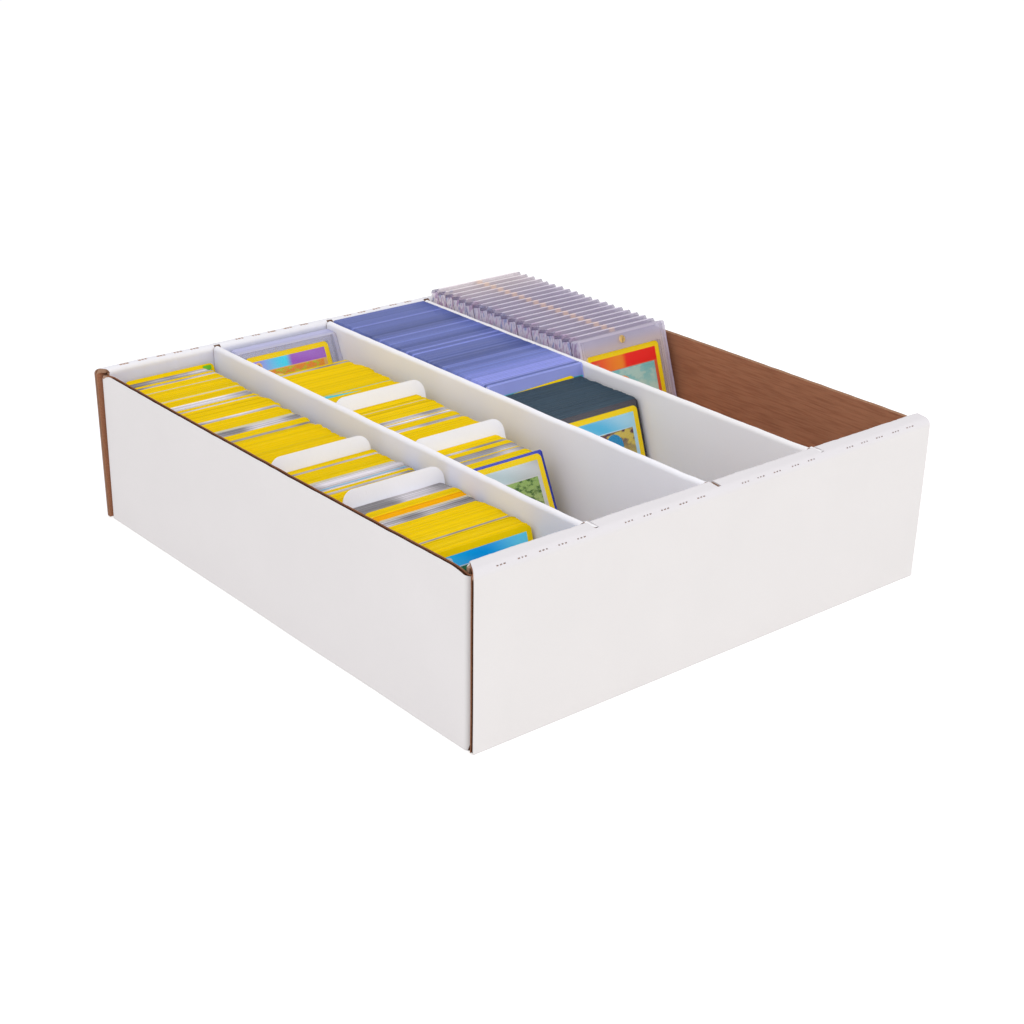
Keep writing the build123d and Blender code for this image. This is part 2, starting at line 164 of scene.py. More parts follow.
class NodeMaker:
    """Adds nodes to a tree."""

    def __init__(self, tree: bpy.types.NodeTree) -> None:
        """Start on a tree."""
        self.tree = tree

    def node(
        self,
        kind: str,
        settings: dict[str, object] | None = None,
        values: dict[str | int, object] | None = None,
    ) -> bpy.types.Node:
        """Add any node.

        Args:
            kind: The node's type.
            settings: The node's own properties, which are set first.
            values: Numbers, colours or links for its input sockets.

        Returns:
            The node.
        """
        node = self.tree.nodes.new(kind)
        for name, value in (settings or {}).items():
            setattr(node, name, value)
        for name, value in (values or {}).items():
            self.feed(node.inputs[name], value)
        return node

    def feed(self, target: Socket, value: object) -> None:
        """Give a socket a link or a fixed value.

        Args:
            target: The input socket.
            value: A wrapped socket, a socket, a number, a colour or a vector.
        """
        if isinstance(value, Sock):
            self.tree.links.new(value.socket, target)
        elif isinstance(value, Socket):
            self.tree.links.new(value, target)
        elif isinstance(value, tuple) and target.type == "RGBA" and len(value) == 3:
            target.default_value = (*value, 1.0)
        else:
            target.default_value = value


class Paint(NodeMaker):
    """A material in the making, with one Principled shader."""

    def __init__(self, name: str) -> None:
        """Make an empty material.

        Args:
            name: The material's name.
        """
        self.material = bpy.data.materials.new(name)
        self.material.use_nodes = True
        super().__init__(self.material.node_tree)
        self.tree.nodes.clear()
        self.shader = self.tree.nodes.new("ShaderNodeBsdfPrincipled")
        output = self.tree.nodes.new("ShaderNodeOutputMaterial")
        self.tree.links.new(self.shader.outputs[0], output.inputs[0])

    def place(self) -> Socket:
        """Position on the piece, in metres."""
        return self.node("ShaderNodeTexCoord").outputs["Object"]

    def map(self) -> Socket:
        """Position on the piece's own map."""
        return self.node("ShaderNodeTexCoord").outputs["UV"]

    def axes(self, vector: Socket | None = None) -> tuple[Sock, Sock, Sock]:
        """The three parts of a vector, or of the position on the piece."""
        split = self.node("ShaderNodeSeparateXYZ", None, {0: vector or self.place()})
        return tuple(Sock(self.tree, split.outputs[index]) for index in range(3))

    def noise(self, vector: Socket, scale: float, detail: float) -> Sock:
        """Noise between 0 and 1, read at a vector, by waves per unit and finer layers."""
        values = {"Vector": vector, "Scale": scale, "Detail": detail}
        return Sock(self.tree, self.node("ShaderNodeTexNoise", None, values).outputs["Fac"])

    def grain(self, scale: float, detail: float, stretch: Triple | None = None) -> Sock:
        """Noise over the piece.

        Args:
            scale: Waves per metre.
            detail: Number of finer layers.
            stretch: Factor of the scale along X, Y and Z.

        Returns:
            The noise, between 0 and 1.
        """
        vector = self.place()
        if stretch:
            vector = self.node("ShaderNodeMapping", None, {"Vector": vector, "Scale": stretch}).outputs[0]
        return self.noise(vector, scale, detail)

    def kraft_fibres(self) -> tuple[Sock, Sock]:
        """Streaks along the paper's grain, and its clouds."""
        streaks = self.grain(scale=900.0, detail=4.0, stretch=(1.0, 0.06, 1.0))
        return streaks, self.grain(scale=35.0, detail=4.0)

    def card_patches(self) -> Sock:
        """Noise of the size of printed patches on card edges behind clear plastic."""
        return self.grain(scale=420.0, detail=4.0, stretch=(0.3, 1.0, 0.35))

    def mix(self, share: Sock | float, first: object, second: object) -> Socket:
        """Mix two colours or colour sockets by the share of the second."""
        values = {0: share, 6: first, 7: second}
        return self.node("ShaderNodeMix", {"data_type": "RGBA"}, values).outputs[2]

    def shade(self, colour: object, share: Sock) -> Socket:
        """Multiply a colour by a grey.

        Args:
            colour: A colour or a colour socket.
            share: The factor, 1 for no change.

        Returns:
            The shaded colour socket.
        """
        grey = self.node("ShaderNodeCombineXYZ", None, {0: share, 1: share, 2: share}).outputs[0]
        settings = {"data_type": "RGBA", "blend_type": "MULTIPLY"}
        return self.node("ShaderNodeMix", settings, {0: 1.0, 6: colour, 7: grey}).outputs[2]

    def bump(self, height: Sock, distance: float, strength: float) -> None:
        """Raise the surface by a height between 0 and 1, where 1 is a distance in metres."""
        values = {"Height": height, "Distance": distance, "Strength": strength}
        self.feed(self.shader.inputs["Normal"], self.node("ShaderNodeBump", None, values).outputs[0])

    def finish(self, **sockets: object) -> Material:
        """Set the shader's sockets.

        Args:
            sockets: Values or links by socket name, with _ for a space.

        Returns:
            The finished material.
        """
        for name, value in sockets.items():
            self.feed(self.shader.inputs[name.replace("_", " ")], value)
        return self.material


# Finishes


KRAFT = (0.40, 0.175, 0.095)


@dataclass(frozen=True)
class LinerFinish:
    """White paper liner of the board, with faint fibres, a hint of the flutes below it, painted shade in its
    corner bends and a painted top colour.
    """

    name: str
    colour: Colour
    flute_axis: int
    flute_pitch: float = 7.8 * MM
    roughness: float = 0.62
    bend_from: float = 180.0 * MM
    bend_width: float = 5.0 * MM
    painted_bend_shade: float = 0.0
    top: Colour = (0.84, 0.82, 0.81)
    top_from: float = 1.0
    top_width: float = 4.0 * MM
    lowest_tone: float = 0.965
    clouds: float = 0.05
    fibres: float = 0.03

    def material(self) -> Material:
        """The finish as a material."""
        paint = Paint(self.name)
        place = paint.axes()
        cloud = paint.grain(scale=22.0, detail=3.0)
        fibre = paint.grain(scale=1400.0, detail=3.0)
        tone = self.lowest_tone + cloud * self.clouds + (fibre - 0.5) * self.fibres
        # Painted shade: the liner is darkened where it turns round the corner bends.
        bend = place[1].size().smooth(self.bend_from, self.bend_from + self.bend_width)
        tone = tone * (1.0 - bend * self.painted_bend_shade)
        flutes = place[self.flute_axis].wave(self.flute_pitch)
        paint.bump(flutes * 0.35 + fibre * 0.4 + cloud * 0.6, distance=0.05 * MM, strength=0.5)
        # Painted light and shade: the band along the top edge takes its own colour for the light that falls
        # there.
        above = place[2].smooth(self.top_from - self.top_width, self.top_from)
        return paint.finish(
            Base_Color=paint.shade(paint.mix(above, self.colour, self.top), tone),
            Roughness=self.roughness + (fibre - 0.5) * 0.1,
            Specular_IOR_Level=0.3,
        )


@dataclass(frozen=True)
class KraftFinish:
    """Brown kraft liner with streaks that follow the paper's grain."""

    name: str
    colour: Colour
    streak: Colour
    lowest_tone: float = 0.88
    clouds: float = 0.24
    specks: float = 0.18

    def material(self) -> Material:
        """The finish as a material."""
        paint = Paint(self.name)
        streaks, cloud = paint.kraft_fibres()
        speck = paint.grain(scale=2600.0, detail=1.0).smooth(0.66, 0.78)
        colour = paint.mix(streaks.smooth(0.35, 0.75), self.colour, self.streak)
        tone = self.lowest_tone + cloud * self.clouds - speck * self.specks
        paint.bump(streaks * 0.7 + cloud * 0.5, distance=0.06 * MM, strength=0.6)
        return paint.finish(Base_Color=paint.shade(colour, tone), Roughness=0.78, Specular_IOR_Level=0.2)


@dataclass(frozen=True)
class FluteFinish:
    """Raw fluting between the liners, painted dark for the shade in the gap between them and lighter where it
    is torn open.
    """

    name: str
    # Painted shade: the dark colour is kraft fluting as it looks in the shade between the liners.
    colour: Colour = (0.05, 0.017, 0.008)
    light: Colour = (0.14, 0.06, 0.03)
    torn: Colour = (0.46, 0.30, 0.22)
    torn_axis: int = 2
    torn_from: float = 1.0
    torn_soft: float = 0.8 * MM
    stripe: float = 0.0
    stripe_half: float = 0.55 * MM

    def material(self) -> Material:
        """The finish as a material."""
        paint = Paint(self.name)
        torn = paint.grain(scale=700.0, detail=4.0)
        colour = paint.mix(torn.smooth(0.5, 0.8), self.colour, self.light)
        place = paint.axes()
        # Painted shade: a dark stripe along the far cut edge stands for the hollow flutes between the liner
        # edges.
        if self.stripe:
            away = (place[1] - self.stripe).size()
            colour = paint.mix(away.smooth(0.5 * self.stripe_half, self.stripe_half), self.colour, self.light)
        ragged = paint.shade(self.torn, 0.55 + torn * 0.9)
        colour = paint.mix(place[self.torn_axis].step(self.torn_from, self.torn_soft), colour, ragged)
        paint.bump(torn, distance=0.25 * MM, strength=0.8)
        return paint.finish(Base_Color=colour, Roughness=0.9, Specular_IOR_Level=0.1)


@dataclass(frozen=True)
class FloorFinish:
    """Bottom panel: kraft on top, white underneath."""

    name: str
    kraft: Colour
    white: Colour
    level: float
    lowest_tone: float = 0.86
    streaks: float = 0.12
    clouds: float = 0.14

    def material(self) -> Material:
        """The finish as a material."""
        paint = Paint(self.name)
        streaks, cloud = paint.kraft_fibres()
        colour = paint.mix(paint.axes()[2] > self.level, self.white, self.kraft)
        paint.bump(streaks, distance=0.05 * MM, strength=0.5)
        tone = self.lowest_tone + streaks * self.streaks + cloud * self.clouds
        return paint.finish(Base_Color=paint.shade(colour, tone), Roughness=0.75, Specular_IOR_Level=0.2)


@dataclass(frozen=True)
class ToneFinish:
    """Finish of things that stand in a stack, each with its own tone, with a painted sheen on foil edges."""

    name: str
    roughness: float
    specular: float = 0.5
    coat: float = 0.0
    fibre: float = 0.06
    painted_foil_sheen: float = 0.75
    painted_foil_shade: float = 0.45

    def material(self) -> Material:
        """The finish as a material."""
        paint = Paint(self.name)
        attribute = paint.node("ShaderNodeAttribute", {"attribute_name": TONE_LAYER})
        tone, foil = attribute.outputs["Color"], Sock(paint.tree, attribute.outputs["Alpha"])
        streaks = paint.grain(scale=1500.0, detail=2.0, stretch=(0.12, 1.0, 1.0))
        # Painted sheen: foil edges are darkened and then lightened in slow waves, for the reflection of the
        # metal foil.
        painted_sheen = paint.grain(scale=34.0, detail=1.0, stretch=(1.0, 0.9, 0.1)).smooth(0.34, 0.66)
        share = 1.0 - self.fibre / 2 + (streaks - 0.5) * self.fibre * 2
        share = share * (1.0 + foil * (painted_sheen * self.painted_foil_sheen - self.painted_foil_shade))
        paint.bump(streaks, distance=0.03 * MM, strength=0.4)
        return paint.finish(
            Base_Color=paint.shade(tone, share),
            Roughness=self.roughness + (streaks - 0.5) * 0.12,
            Specular_IOR_Level=self.specular,
            Coat_Weight=self.coat,
        )


@dataclass(frozen=True)
class PlasticFinish:
    """Smooth plastic or print with faint clouds and fine scratches."""

    name: str
    colour: Colour
    roughness: float = 0.35
    alpha: float = 1.0
    metallic: float = 0.0
    scratch: float = 0.05
    specular: float = 0.4

    def material(self) -> Material:
        """The finish as a material."""
        paint = Paint(self.name)
        cloud = paint.grain(scale=60.0, detail=3.0)
        lines = paint.grain(scale=3000.0, detail=2.0, stretch=(1.0, 0.2, 0.05))
        tone = 0.96 + cloud * 0.08 - lines.smooth(0.62, 0.72) * self.scratch
        paint.bump(lines * 0.6 + cloud, distance=0.015 * MM, strength=0.4)
        return paint.finish(
            Base_Color=paint.shade(self.colour, tone),
            Roughness=self.roughness + lines.smooth(0.55, 0.8) * self.scratch,
            Alpha=self.alpha,
            Metallic=self.metallic,
            Specular_IOR_Level=self.specular,
        )


@dataclass(frozen=True)
class Window:
    """Where a case shows its card, from the middle of the case's foot."""

    half: float
    foot: float
    top: float


@dataclass(frozen=True)
class Rim:
    """Outer edges of a case, from the middle of its foot, and how far they reach in."""

    side: float
    top: float
    width: float


@dataclass(frozen=True)
class PaneFinish:
    """Clear plate of a case, nearly invisible over the card and milky round it."""

    name: str
    colour: Colour
    place: Triple
    lean: float
    window: Window
    clear: float
    milky: float
    rim: Rim
    rim_colour: Colour
    rim_milky: float
    side_colour: Colour = (0.7, 0.66, 0.78)
    side_from: float = 0.4 * MM
    side_to: float = 0.2 * MM
    magnet_height: float = 0.0
    magnet_radius: float = 2.8 * MM
    tint: Colour = (0.5, 0.5, 0.5)
    tint_top: float = 0.0
    tint_soft: float = 0.4 * MM
    soft: float = 0.2 * MM
    streaks: float = 0.0
    streak_pitch: float = 1.7 * MM
    streaks_from: float = 1.5 * MM

    def material(self) -> Material:
        """The finish as a material."""
        paint = Paint(self.name)
        x, y, z = paint.axes()
        angle = math.radians(self.lean)
        across = (x - self.place[0]).size()
        up = (y - self.place[1]) * math.sin(angle) + (z - self.place[2]) * math.cos(angle)
        window, rim, soft = self.window, self.rim, self.soft
        inside = (window.half - across).step(0.0, soft) * (up - window.foot).step(0.0, soft)
        inside = inside * (window.top - up).step(0.0, soft)
        above = up - self.magnet_height
        away = (across * across + above * above).root()
        inside = inside + (self.magnet_radius - away).step(0.0, soft)
        cloud = paint.grain(scale=90.0, detail=3.0)
        tinted = (self.tint_top - up).step(0.0, self.tint_soft)
        colour = paint.mix(tinted, paint.shade(self.colour, 0.94 + cloud * 0.12), self.tint)
        # Painted light and shade: light and dark lines beside the card's window, parallel to its edge.
        beside = (across - window.half).smooth(soft, self.streaks_from)
        lines = (across * (2 * math.pi / self.streak_pitch)).sine() * beside
        colour = paint.shade(colour, 1.0 + lines * self.streaks)
        patch = paint.card_patches().smooth(0.46, 0.56)
        patch = patch * across.smooth(rim.side - self.side_from, rim.side - self.side_to)
        border = paint.mix(patch, self.rim_colour, self.side_colour)
        within = (rim.side - rim.width - across).step(0.0, soft)
        within = within * (rim.top - rim.width - up).step(0.0, soft)
        milky = self.milky + (self.clear - self.milky) * inside
        return paint.finish(
            Base_Color=paint.mix(within, border, colour),
            Alpha=self.rim_milky + (milky - self.rim_milky) * within,
            Roughness=0.16,
            Specular_IOR_Level=0.25,
        )


@dataclass(frozen=True)
class AcrylicFinish:
    """Clear acrylic of stacked holders, tinted by what lies in them: magnets, and cards at its end; painted
    lighter towards the far end.
    """

    name: str
    colour: Colour
    alpha: float
    middle: float
    end: float
    end_from: float = 3.0 * MM
    end_to: float = 12.0 * MM
    warm: Colour = (0.56, 0.40, 0.60)
    cool: Colour = (0.36, 0.38, 0.64)
    gold: Colour = (0.92, 0.60, 0.34)
    gold_half: float = 3.6 * MM
    gold_from: float = 96.0 * MM
    gold_to: float = 100.0 * MM
    gold_alpha: float = 0.35
    lean: float = 18.0
    pitch: float = 7.3 * MM
    far_painted_light: Colour = (0.84, 0.74, 0.80)
    far_from: float = 118.0 * MM
    far_to: float = 178.0 * MM

    def material(self) -> Material:
        """The finish as a material."""
        paint = Paint(self.name)
        x, y, z = paint.axes()
        cloud = paint.grain(scale=60.0, detail=3.0)
        patch = paint.card_patches()
        close = 1.0 - (x - self.end).size().smooth(self.end_from, self.end_to)
        # Painted light: the holders are lightened and warmed towards the far end.
        body = paint.mix(y.smooth(self.far_from, self.far_to), self.colour, self.far_painted_light)
        colour = paint.mix(patch.smooth(0.52, 0.6) * close, paint.shade(body, 0.94 + cloud * 0.12), self.warm)
        colour = paint.mix((1.0 - patch.smooth(0.36, 0.44)) * close, colour, self.cool)
        fleck = 1.0 - (x - self.middle).size().smooth(0.3 * self.gold_half, self.gold_half)
        wave = y.wave(self.pitch / math.cos(math.radians(self.lean)))
        fleck = fleck * (0.35 + wave * 0.5) * z.smooth(self.gold_from, self.gold_to)
        return paint.finish(
            Base_Color=paint.mix(fleck, colour, self.gold),
            Alpha=self.alpha + fleck * self.gold_alpha,
            Roughness=0.12,
            Coat_Weight=0.3,
            Specular_IOR_Level=0.4,
        )


@dataclass(frozen=True)
class HeaderFinish:
    """Printed band at the top of a card, with a soft change of colour along it and a painted highlight."""

    name: str
    left: Colour
    middle: Colour
    right: Colour
    turn: float = 0.75
    soft: float = 0.25
    glow: float = 0.04

    def material(self) -> Material:
        """The finish as a material."""
        paint = Paint(self.name)
        across, up, _ = paint.axes(paint.map())
        # Painted highlight: pale bluish waves across the band stand for light reflected from it.
        glow = (across * 7.0 + up * 3.0).sine() * 0.5 + 0.5
        base = paint.mix(across.smooth(0.0, 0.45), self.left, self.middle)
        base = paint.mix(across.step(self.turn, self.soft), base, self.right)
        base = paint.mix(glow * self.glow, base, (0.9, 0.95, 1.0))
        return paint.finish(Base_Color=base, Roughness=0.4, Specular_IOR_Level=0.1)


@dataclass(frozen=True)
class PictureFinish:
    """Plain printed landscape: a sky, a sun, leaves and two ranges of hills."""

    name: str
    sky: Colour
    haze: Colour
    far_hill: Colour
    near_hill: Colour
    sun: Colour
    sun_at: Pair = (0.3, 0.7)
    sun_size: float = 0.13
    flatness: float = 0.62
    waves: float = 5.0
    leaf: Colour = (0.5, 0.5, 0.5)
    leaf_share: float = 0.0
    leaf_scale: float = 11.0

    def material(self) -> Material:
        """The finish as a material."""
        paint = Paint(self.name)
        across, up, _ = paint.axes(paint.map())
        colour = paint.mix(up.smooth(0.3, 1.0), self.haze, self.sky)
        dx, dy = across - self.sun_at[0], (up - self.sun_at[1]) * self.flatness
        away = (dx * dx + dy * dy).root()
        far = 0.42 + (across * self.waves + 0.6).sine() * 0.12 + (across * self.waves * 2.7).sine() * 0.04
        near = 0.2 + (across * self.waves * 1.6 + 2.0).sine() * 0.09
        for ridge, hill in ((far, self.far_hill), (near, self.near_hill)):
            colour = paint.mix(1.0 - (up - ridge).step(0.0, 0.01), colour, hill)
        leaves = paint.noise(paint.map(), self.leaf_scale, 4.0).smooth(0.46, 0.6)
        colour = paint.mix(leaves * self.leaf_share, colour, self.leaf)
        colour = paint.mix(1.0 - away.smooth(self.sun_size, self.sun_size + 0.015), colour, self.sun)
        return paint.finish(Base_Color=colour, Roughness=0.4, Specular_IOR_Level=0.1)


class Finishes:
    """Every finish of the tray and what it holds."""

    # The white liners are copies of one paper, coloured for the light on each piece as painted light and
    # shade: darker walls and ends, lighter dividers, bluish tints that offset yellow light bounced from the
    # cards, and a darker top on the near end strip.
    side_liner = LinerFinish("white_liner_sides", (0.804, 0.774, 0.78), 2, painted_bend_shade=0.34)
    end_liner = LinerFinish(
        "white_liner_ends", (0.815, 0.785, 0.78), 0, top=(0.75, 0.722, 0.748), top_from=99.0 * MM
    )
    far_liner = LinerFinish(
        "white_liner_far", (0.78, 0.79, 0.93), 0, top=(0.86, 0.85, 0.90), top_from=99.0 * MM
    )
    divider_liner = LinerFinish("white_liner_dividers", (0.90, 0.88, 0.90), 1)
    middle_liner = LinerFinish("white_liner_middle_divider", (0.92, 0.91, 0.965), 1)
    yellow_side_liner = LinerFinish(
        "white_liner_dividers_yellow_side", (0.84, 0.855, 0.985), 1,
        top=(0.90, 0.88, 0.90), top_from=101.0 * MM,
    )
    kraft = KraftFinish("kraft_liner", KRAFT, (0.31, 0.125, 0.066))
    flute = FluteFinish("fluting")
    side_flute = FluteFinish("side_fluting", torn_axis=1, torn_from=172.0 * MM)
    end_flute = FluteFinish("end_fluting", torn_from=95.0 * MM)
    cut_edge = FluteFinish("cut_edge", (0.33, 0.17, 0.10), (0.50, 0.31, 0.20))
    far_cut_edge = FluteFinish(
        "far_cut_edge", (0.17, 0.075, 0.04), (0.37, 0.215, 0.14), stripe=186.1 * MM
    )
    floor = FloorFinish("bottom_board", KRAFT, (0.8, 0.785, 0.79), 1.5 * MM)
    card_edge = ToneFinish("card_edges", 0.5, specular=0.12)
    sleeve_edge = ToneFinish("sleeve_edges", 0.4, specular=0.3)
    sheath = ToneFinish("sheath_plastic", 0.24, coat=0.25)
    # The tabs' bluish white is painted to offset yellow light bounced from the cards.
    index = PlasticFinish("index_plastic", (0.86, 0.865, 0.94), 0.38)
    clear_film = PlasticFinish("clear_film", (0.8, 0.84, 0.9), 0.2, alpha=0.012, specular=0.15)
    blue_film = PlasticFinish("blue_film", (0.025, 0.05, 0.52))
    slate_film = PlasticFinish("slate_film", (0.045, 0.04, 0.055))
    # Painted shade: the holders' rounded corners are given a dark colour.
    acrylic_corner_painted_shade = PlasticFinish("holder_corners_painted_shade", (0.21, 0.17, 0.30), 0.2, 0.65)
    gold = PlasticFinish("gold_plate", (0.95, 0.62, 0.2), 0.3, metallic=0.6, specular=0.6)
    yellow_card = PlasticFinish("yellow_border", (0.95, 0.67, 0.0), 0.42, specular=0.05)


class Palette:
    """Keeps each finish's material, so that it is made once."""

    def __init__(self) -> None:
        """Start with no materials."""
        self.made: dict[str, bpy.types.Material] = {}

    def __call__(self, finish: object) -> Material:
        """Material of a finish, made when it is first asked for."""
        return self.made.get(finish.name) or self.made.setdefault(finish.name, finish.material())


FINISH = Finishes()
PALETTE = Palette()


# Mesh building


def new_object(name: str, data: bpy.types.ID) -> Piece:
    """Put an object with a mesh, a lamp or a camera in the scene."""
    thing = bpy.data.objects.new(name, data)
    bpy.context.scene.collection.objects.link(thing)
    return thing


class Mesher:
    """Collects points and faces with their finishes, and makes one object of them."""

    def __init__(self) -> None:
        """Start with nothing."""
        self.points: list[Vector] = []
        self.faces: list[tuple[int, ...]] = []
        self.slots: list[int] = []
        self.maps: list[Sequence[Pair] | None] = []

    def add(self, corners: Sequence[int], slot: int = 0, sheet: Sequence[Pair] | None = None) -> None:
        """Add a face.

        Args:
            corners: Indexes of its points.
            slot: Index of its finish.
            sheet: Map coordinates of its corners.
        """
        self.faces.append(tuple(corners))
        self.slots.append(slot)
        self.maps.append(sheet)

    def grid(self, rows: Sequence[Sequence[Vector]]) -> list[list[int]]:
        """Add a grid of points.

        Args:
            rows: Rows of points of equal length.

        Returns:
            Their indexes in the same rows.
        """
        indexes = []
        for row in rows:
            start = len(self.points)
            self.points.extend(row)
            indexes.append(list(range(start, start + len(row))))
        return indexes

    def only(self, slot: int) -> None:
        """Keep the faces of one finish.

        Args:
            slot: Index of the finish, which becomes the first.
        """
        self.faces = [face for face, own in zip(self.faces, self.slots) if own == slot]
        self.slots = [0] * len(self.faces)
        self.maps = [None] * len(self.faces)

    def build(self, name: str, finishes: Sequence[object], recalculate: bool = True) -> Piece:
        """Make the object.

        Args:
            name: The object's name.
            finishes: Its finishes, in the order of the slots.
            recalculate: Whether the faces are turned outwards.

        Returns:
            The object, at the origin.
        """
        mesh = bpy.data.meshes.new(name)
        mesh.from_pydata([tuple(point) for point in self.points], [], self.faces)
        for finish in finishes:
            mesh.materials.append(PALETTE(finish))
        mesh.polygons.foreach_set("material_index", self.slots)
        if any(self.maps):
            layer = mesh.uv_layers.new(name="sheet")
            for polygon, sheet in zip(mesh.polygons, self.maps):
                for loop, spot in zip(polygon.loop_indices, sheet or ()):
                    layer.data[loop].uv = spot
        mesh.update()
        if recalculate:
            work = bmesh.new()
            work.from_mesh(mesh)
            bmesh.ops.recalc_face_normals(work, faces=work.faces)
            work.to_mesh(mesh)
            work.free()
        return new_object(name, mesh)


@dataclass(frozen=True)
class Plate:
    """Sizes of one flat thing with rounded corners, such as a card, a sleeve or a holder's plate."""

    width: float
    height: float
    thickness: float
    corner: float

    def outline(self, segments: int) -> list[Vector]:
        """Its outline in the plane Z = 0, standing on the origin.

        Args:
            segments: Straight pieces in each corner.

        Returns:
            Points in order.
        """
        radius, top = self.corner, self.height - self.corner
        half = self.width / 2 - radius
        outline = []
        for turn, (x, y) in enumerate(((half, radius), (half, top), (-half, top), (-half, radius))):
            for step in range(segments + 1):
                angle = math.radians(-90 + 90 * (turn + step / segments))
                outline.append(Vector((x + radius * math.cos(angle), y + radius * math.sin(angle), 0)))
        return outline


BEVEL_STRETCH = 1.2
CORNER_REACH = 0.955


def add_slab(
    mesher: Mesher, matrix: Matrix, outline: Sequence[Vector], low: float, high: float, slot: int = 0,
    bevel: float = 0.0, rim: int | None = None, corner: int | None = None,
) -> None:
    """Add a flat plate.

    Args:
        mesher: Where it is added.
        matrix: Place of the plate's own axes.
        outline: Its outline in the plane Z = 0.
        low: Depth of its back.
        high: Depth of its front.
        slot: Index of its finish.
        bevel: Width of the chamfer on its edges.
        rim: Index of another finish for its edges.
        corner: Index of another finish for its rounded upper corners.
    """
    reach = max(point.length for point in outline)
    middle = sum(outline, Vector()) / len(outline)
    levels = [(low, 0.0), (high, 0.0)]
    if bevel:
        levels = [(low, bevel), (low + bevel, 0.0), (high - bevel, 0.0), (high, bevel)]
    rings = []
    for depth, inset in levels:
        ring = []
        for point in outline:
            towards = (middle - point).normalized() * inset * BEVEL_STRETCH
            ring.append(matrix @ Vector((point.x + towards.x, point.y + towards.y, depth)))
        rings.append(ring)
    indexes = mesher.grid(rings)
    count = len(outline)
    mesher.add(indexes[0][::-1], slot)
    for here in range(count):
        there = (here + 1) % count
        own = slot if rim is None else rim
        if corner is not None and outline[here].lerp(outline[there], 0.5).length > CORNER_REACH * reach:
            own = corner
        for lower, upper in zip(indexes, indexes[1:]):
            mesher.add((lower[here], lower[there], upper[there], upper[here]), own)
    mesher.add(indexes[-1], slot)


def leaning(lean: float, place: Vector) -> Matrix:
    """Axes of a leaning thing: X across, Y up its face, Z out of its front.

    Args:
        lean: Degrees from upright towards the far end.
        place: Middle of its rear lower edge.

    Returns:
        The matrix from those axes to the frame.
    """
    angle = math.radians(lean)
    matrix = Matrix.Identity(4)
    matrix.col[1] = (0, math.sin(angle), math.cos(angle), 0)
    matrix.col[2] = (0, -math.cos(angle), math.sin(angle), 0)
    matrix.col[3] = (*place, 1)
    return matrix


def leaning_node(node: str, lean: float, height: float) -> Matrix:
    """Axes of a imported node, from its box, its lean in degrees and its height along its face."""
    low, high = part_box(node)
    depth = height * math.sin(math.radians(lean))
    return leaning(lean, Vector(((low.x + high.x) / 2, high.y - depth, low.z)))


def seat(piece: Piece, body: str, slot: str, *nodes: str) -> Piece:
    """Put a finished piece in the frame.

    Args:
        piece: The piece.
        body: The body that it moves with.
        slot: The record's material slot; not used.
        nodes: The nodes that it stands for.

    Returns:
        The piece.
    """
    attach(piece, body)
    if nodes:
        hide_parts(*nodes)
    LOG.info("%s on %s, %d faces", piece.name, body, len(piece.data.polygons))
    return piece


def dress(node: str, finish: object) -> None:
    """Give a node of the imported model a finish.

    Args:
        node: The node's name.
        finish: The finish.
    """
    mesh = frame["nodes"][node].data
    mesh.materials.clear()
    mesh.materials.append(PALETTE(finish))
    LOG.info("%s keeps its shape, finish %s", node, finish.name)


# Board


def clamped(value: float) -> float:
    """The value, kept between 0 and 1."""
    return max(0.0, min(1.0, value))


@dataclass(frozen=True)
class Ripple:
    """Smooth unevenness of board: its height, and how fast it changes along and across."""

    height: float
    along: float
    across: float = 1.0

    def at(self, seed: float, along: float, across: float = 0.0) -> float:
        """Its height at a place."""
        return noise.noise(Vector((seed, along * self.along, across * self.across))) * self.height


class Path:
    """A bent line that a sheet of board follows, with the way into the board at each point."""

    def __init__(self, start: Pair) -> None:
        """Start a path at its first point."""
        self.points: list[Vector] = [Vector(start)]
        self.inwards: list[Vector] = []

    def line(self, end: tuple[float, float], step: float) -> "Path":
        """Go straight to a point.

        Args:
            end: The point.
            step: Longest distance between two points.

        Returns:
            The path.
        """
        start, finish = self.points[-1], Vector(end)
        count = max(1, round((finish - start).length / step))
        for number in range(1, count + 1):
            self.points.append(start.lerp(finish, number / count))
        return self

    def arc(self, centre: tuple[float, float], turn: float, count: int) -> "Path":
        """Go round a centre.

        Args:
            centre: The centre.
            turn: Degrees, positive to the left.
            count: Number of pieces.

        Returns:
            The path.
        """
        hub, start = Vector(centre), self.points[-1]
        for number in range(1, count + 1):
            angle = math.radians(turn * number / count)
            cos, sin = math.cos(angle), math.sin(angle)
            spoke = start - hub
            self.points.append(hub + Vector((spoke.x * cos - spoke.y * sin, spoke.x * sin + spoke.y * cos)))
        return self

    def close(self, side: int) -> "Path":
        """Work out the way into the board.

        Args:
            side: 1 if the board lies on the left of the path, -1 if on the right.

        Returns:
            The path.
        """
        for index in range(len(self.points)):
            before = self.points[max(index - 1, 0)]
            after = self.points[min(index + 1, len(self.points) - 1)]
            along = (after - before).normalized()
            self.inwards.append(Vector((-along.y, along.x)) * side)
        return self


@dataclass(frozen=True)
class Layer:
    """One layer of the board: its depths, how far its edges stand back, and its finishes."""

    low: float
    high: float
    set_back: float
    outside: int
    inside: int
    rim: int


def board_layers(recess: float, cut: int, liner: float = 0.32 * MM) -> tuple[Layer, ...]:
    """Outer liner, fluting and inner liner of the board.

    Args:
        recess: How far the fluting stands back at a cut edge.
        cut: Index of the fluting's finish at that edge.
        liner: Thickness of the outer liner.

    Returns:
        The three layers.
    """
    return (
        Layer(0.0, liner, 0.0, 0, 1, 0),
        Layer(liner, 2.7 * MM, recess, 2, 2, cut),
        Layer(2.7 * MM, 3.0 * MM, 0.05 * MM, 1, 1, 3),
    )


